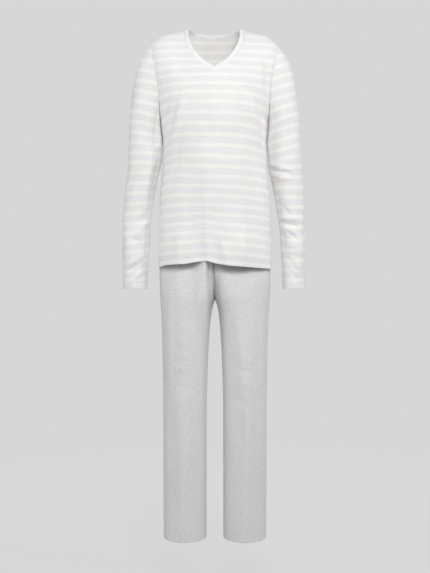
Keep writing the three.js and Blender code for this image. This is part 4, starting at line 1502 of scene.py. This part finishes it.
CHEST = (0.0, 0.0, -0.4)
LAMPS = (
    Lamp("soft_right", (3.0, -1.5, 0.6), CHEST, 1.6, 22.5),
    Lamp("soft_left", (-3.0, -1.4, 0.3), CHEST, 1.6, 12.5),
    Lamp("soft_above", (0.7, -2.9, 1.3), (0.0, 0.0, -0.35), 1.0, 30.0),
    Lamp("soft_front", (0.1, -2.1, 0.35), (0.0, 0.0, -0.3), 1.4, 12.6),
    Lamp("soft_low", (-2.4, -1.2, -0.9), (-0.05, 0.0, -0.8), 0.8, 5.0),
    Lamp("soft_behind", (0.0, 2.6, 1.0), CHEST, 2.2, 60.0),
    Lamp("neck_light", (0.0, -0.03, -0.3), (0.0, 0.04, 0.1), 0.12, 0.13),
)


@dataclass
class Studio:
    """The camera, the soft lights and the pale floor."""

    camera_height: float = -0.731
    camera_distance: float = 3.0
    photo_height: float = 573 * 2.85 * MM
    sensor: float = 36.0
    backdrop: tuple[float, float, float, float] = shade_of(215, 215, 215)
    ambient: float = 0.43
    floor_height: float = -1.56
    floor_radius: float = 5.0
    floor_fade: tuple[float, float] = (1.0, 3.2)
    floor_glow: float = 0.83
    floor_grey: tuple[float, float, float, float] = (0.12, 0.12, 0.12, 1.0)
    white: tuple[float, float, float, float] = (1.0, 1.0, 1.0, 1.0)

    def camera(self) -> None:
        """Makes the camera, level and square to the front."""
        data = bpy.data.cameras.new("camera")
        data.sensor_width = self.sensor
        data.lens = self.sensor * self.camera_distance / self.photo_height
        camera = bpy.data.objects.new("camera", data)
        camera.location = (0.0, -self.camera_distance, self.camera_height)
        camera.rotation_euler = (math.radians(90.0), 0.0, 0.0)
        bpy.context.scene.collection.objects.link(camera)
        bpy.context.scene.camera = camera

    def light(self, lamp: Lamp) -> None:
        """Hangs one soft light, which the camera doesn't see."""
        data = bpy.data.lights.new(lamp.name, "AREA")
        data.size, data.energy = lamp.size, lamp.power
        light = bpy.data.objects.new(lamp.name, data)
        light.location = lamp.place
        light.visible_camera = False
        way = Vector(lamp.aim) - Vector(lamp.place)
        light.rotation_euler = way.to_track_quat("-Z", "Y").to_euler()
        bpy.context.scene.collection.objects.link(light)

    def world(self) -> None:
        """Surrounds the set with even white light, and shows the backdrop's grey behind it."""
        world = bpy.data.worlds.new("studio")
        world.use_nodes = True
        bpy.context.scene.world = world
        nodes, links = world.node_tree.nodes, world.node_tree.links
        nodes.clear()
        seen = nodes.new("ShaderNodeBackground")
        seen.inputs[0].default_value = self.backdrop
        fill = nodes.new("ShaderNodeBackground")
        fill.inputs[0].default_value = self.white
        fill.inputs[1].default_value = self.ambient
        path = nodes.new("ShaderNodeLightPath")
        chosen = nodes.new("ShaderNodeMixShader")
        output = nodes.new("ShaderNodeOutputWorld")
        links.new(path.outputs["Is Camera Ray"], chosen.inputs[0])
        links.new(fill.outputs[0], chosen.inputs[1])
        links.new(seen.outputs[0], chosen.inputs[2])
        links.new(chosen.outputs[0], output.inputs[0])

    def floor(self) -> None:
        """Lays the pale floor, which fades into the backdrop."""
        bpy.ops.mesh.primitive_circle_add(vertices=96, radius=self.floor_radius, fill_type="NGON",
                                          location=(0.0, 0.0, self.floor_height))
        floor = bpy.context.object
        floor.name = "floor"
        shader = Shader("pale_floor")
        place = shader.add("TexCoord").outputs["Object"]
        flat = shader.add("VectorMath", {0: place, 1: (1.0, 1.0, 0.0)}, operation="MULTIPLY")
        away = shader.add("VectorMath", {0: flat.outputs[0]}, operation="LENGTH").outputs[1]
        seen = shader.spread(away, *self.floor_fade, 1.0, 0.0)
        glow = shader.add("Emission", {"Color": self.backdrop, "Strength": self.floor_glow})
        matt = shader.add("BsdfDiffuse", {"Color": self.floor_grey})
        both = shader.add("AddShader", {0: glow.outputs[0], 1: matt.outputs[0]})
        clear = shader.add("BsdfTransparent", {"Color": self.white})
        chosen = shader.add("MixShader", {0: seen, 1: clear.outputs[0], 2: both.outputs[0]})
        shader.add("OutputMaterial", {"Surface": chosen.outputs[0]})
        floor.data.materials.append(shader.material)
        floor.visible_diffuse = False

    def build(self) -> None:
        """Sets up everything but the garment."""
        self.camera()
        self.world()
        for lamp in LAMPS:
            self.light(lamp)
        self.floor()
        settings = bpy.context.scene.view_settings
        settings.view_transform = "Standard"
        settings.look = "None"


def sew(cloth: Cloth, thread: bpy.types.Material) -> None:
    """Sews both rows of stitches along the hems of a piece of cloth."""
    lines = [line for row in WALL.stitch_rows for line in cloth.hem_lines(row)]
    piece = Stitching().make(cloth.name.replace("cloth", "stitches"), lines)
    piece.data.materials.append(thread)
    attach(piece, BODY)


def dress(piece: bpy.types.Object, material: bpy.types.Material, slot: str, *nodes: str) -> None:
    """Gives a finished piece its material, joins it to the body and hides the nodes that it stands
    for.
    """
    piece.data.materials.clear()
    piece.data.materials.append(material)
    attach(piece, BODY)
    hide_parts(*nodes)
    LOG.info("%s: %d faces", piece.name, len(piece.data.polygons))


def main() -> None:
    """Builds the set in order: camera and light, the top, the sleeves, the band, the trousers."""
    logging.basicConfig(level=logging.INFO, format="%(name)s: %(message)s")
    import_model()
    Studio().build()
    striped, banded, plain = STRIPED_JERSEY.make(), BAND_JERSEY.make(), PLAIN_JERSEY.make()
    thread = Thread().make()
    top = Top()
    front = top.panel(Half.FRONT, TOP_FOLDS[Half.FRONT], Slack(0.5, 60.0, 260.0, 9, 3))
    back = top.panel(Half.BACK, TOP_FOLDS[Half.BACK], Slack(0.7, 60.0, 260.0, 9, 5))
    for half, panel in ((Half.FRONT, front), (Half.BACK, back)):
        piece = panel.cloth.make()
        dress(piece, striped, "striped_jersey", f"top_{half.word}")
        sew(panel.cloth, thread)
    sleeves = Sleeves()
    for side in (Side.LEFT, Side.RIGHT):
        cloth = sleeves.sleeve(side, sleeves.ring(front, back, side), SLEEVE_FOLDS[side],
                               Slack(0.5, 44.0, 160.0, 8, 7 + side.value), SLEEVE_STRIPES[side],
                               SLEEVE_TILTS[side], SLEEVE_CUP, top)
        piece = cloth.make()
        dress(piece, striped, "striped_jersey", f"sleeve_{side.word}")
        sew(cloth, thread)
    piece = NeckBand().build(top, front, back).make()
    dress(piece, banded, "neck_band_jersey", "neck_band")
    trousers = Trousers()
    for side in (Side.LEFT, Side.RIGHT):
        for half in (Half.FRONT, Half.BACK):
            cloth = trousers.panel(side, half, TROUSER_FOLDS[half],
                                   Slack(0.7, 52.0, 420.0, 9, 11 + half.value))
            piece = cloth.make()
            dress(piece, plain, "plain_jersey", f"trouser_{half.word}_{side.word}")
            sew(cloth, thread)
    piece = trousers.waistband().make()
    dress(piece, plain, "waistband_jersey", "waistband")


if __name__ == "__main__":
    main()
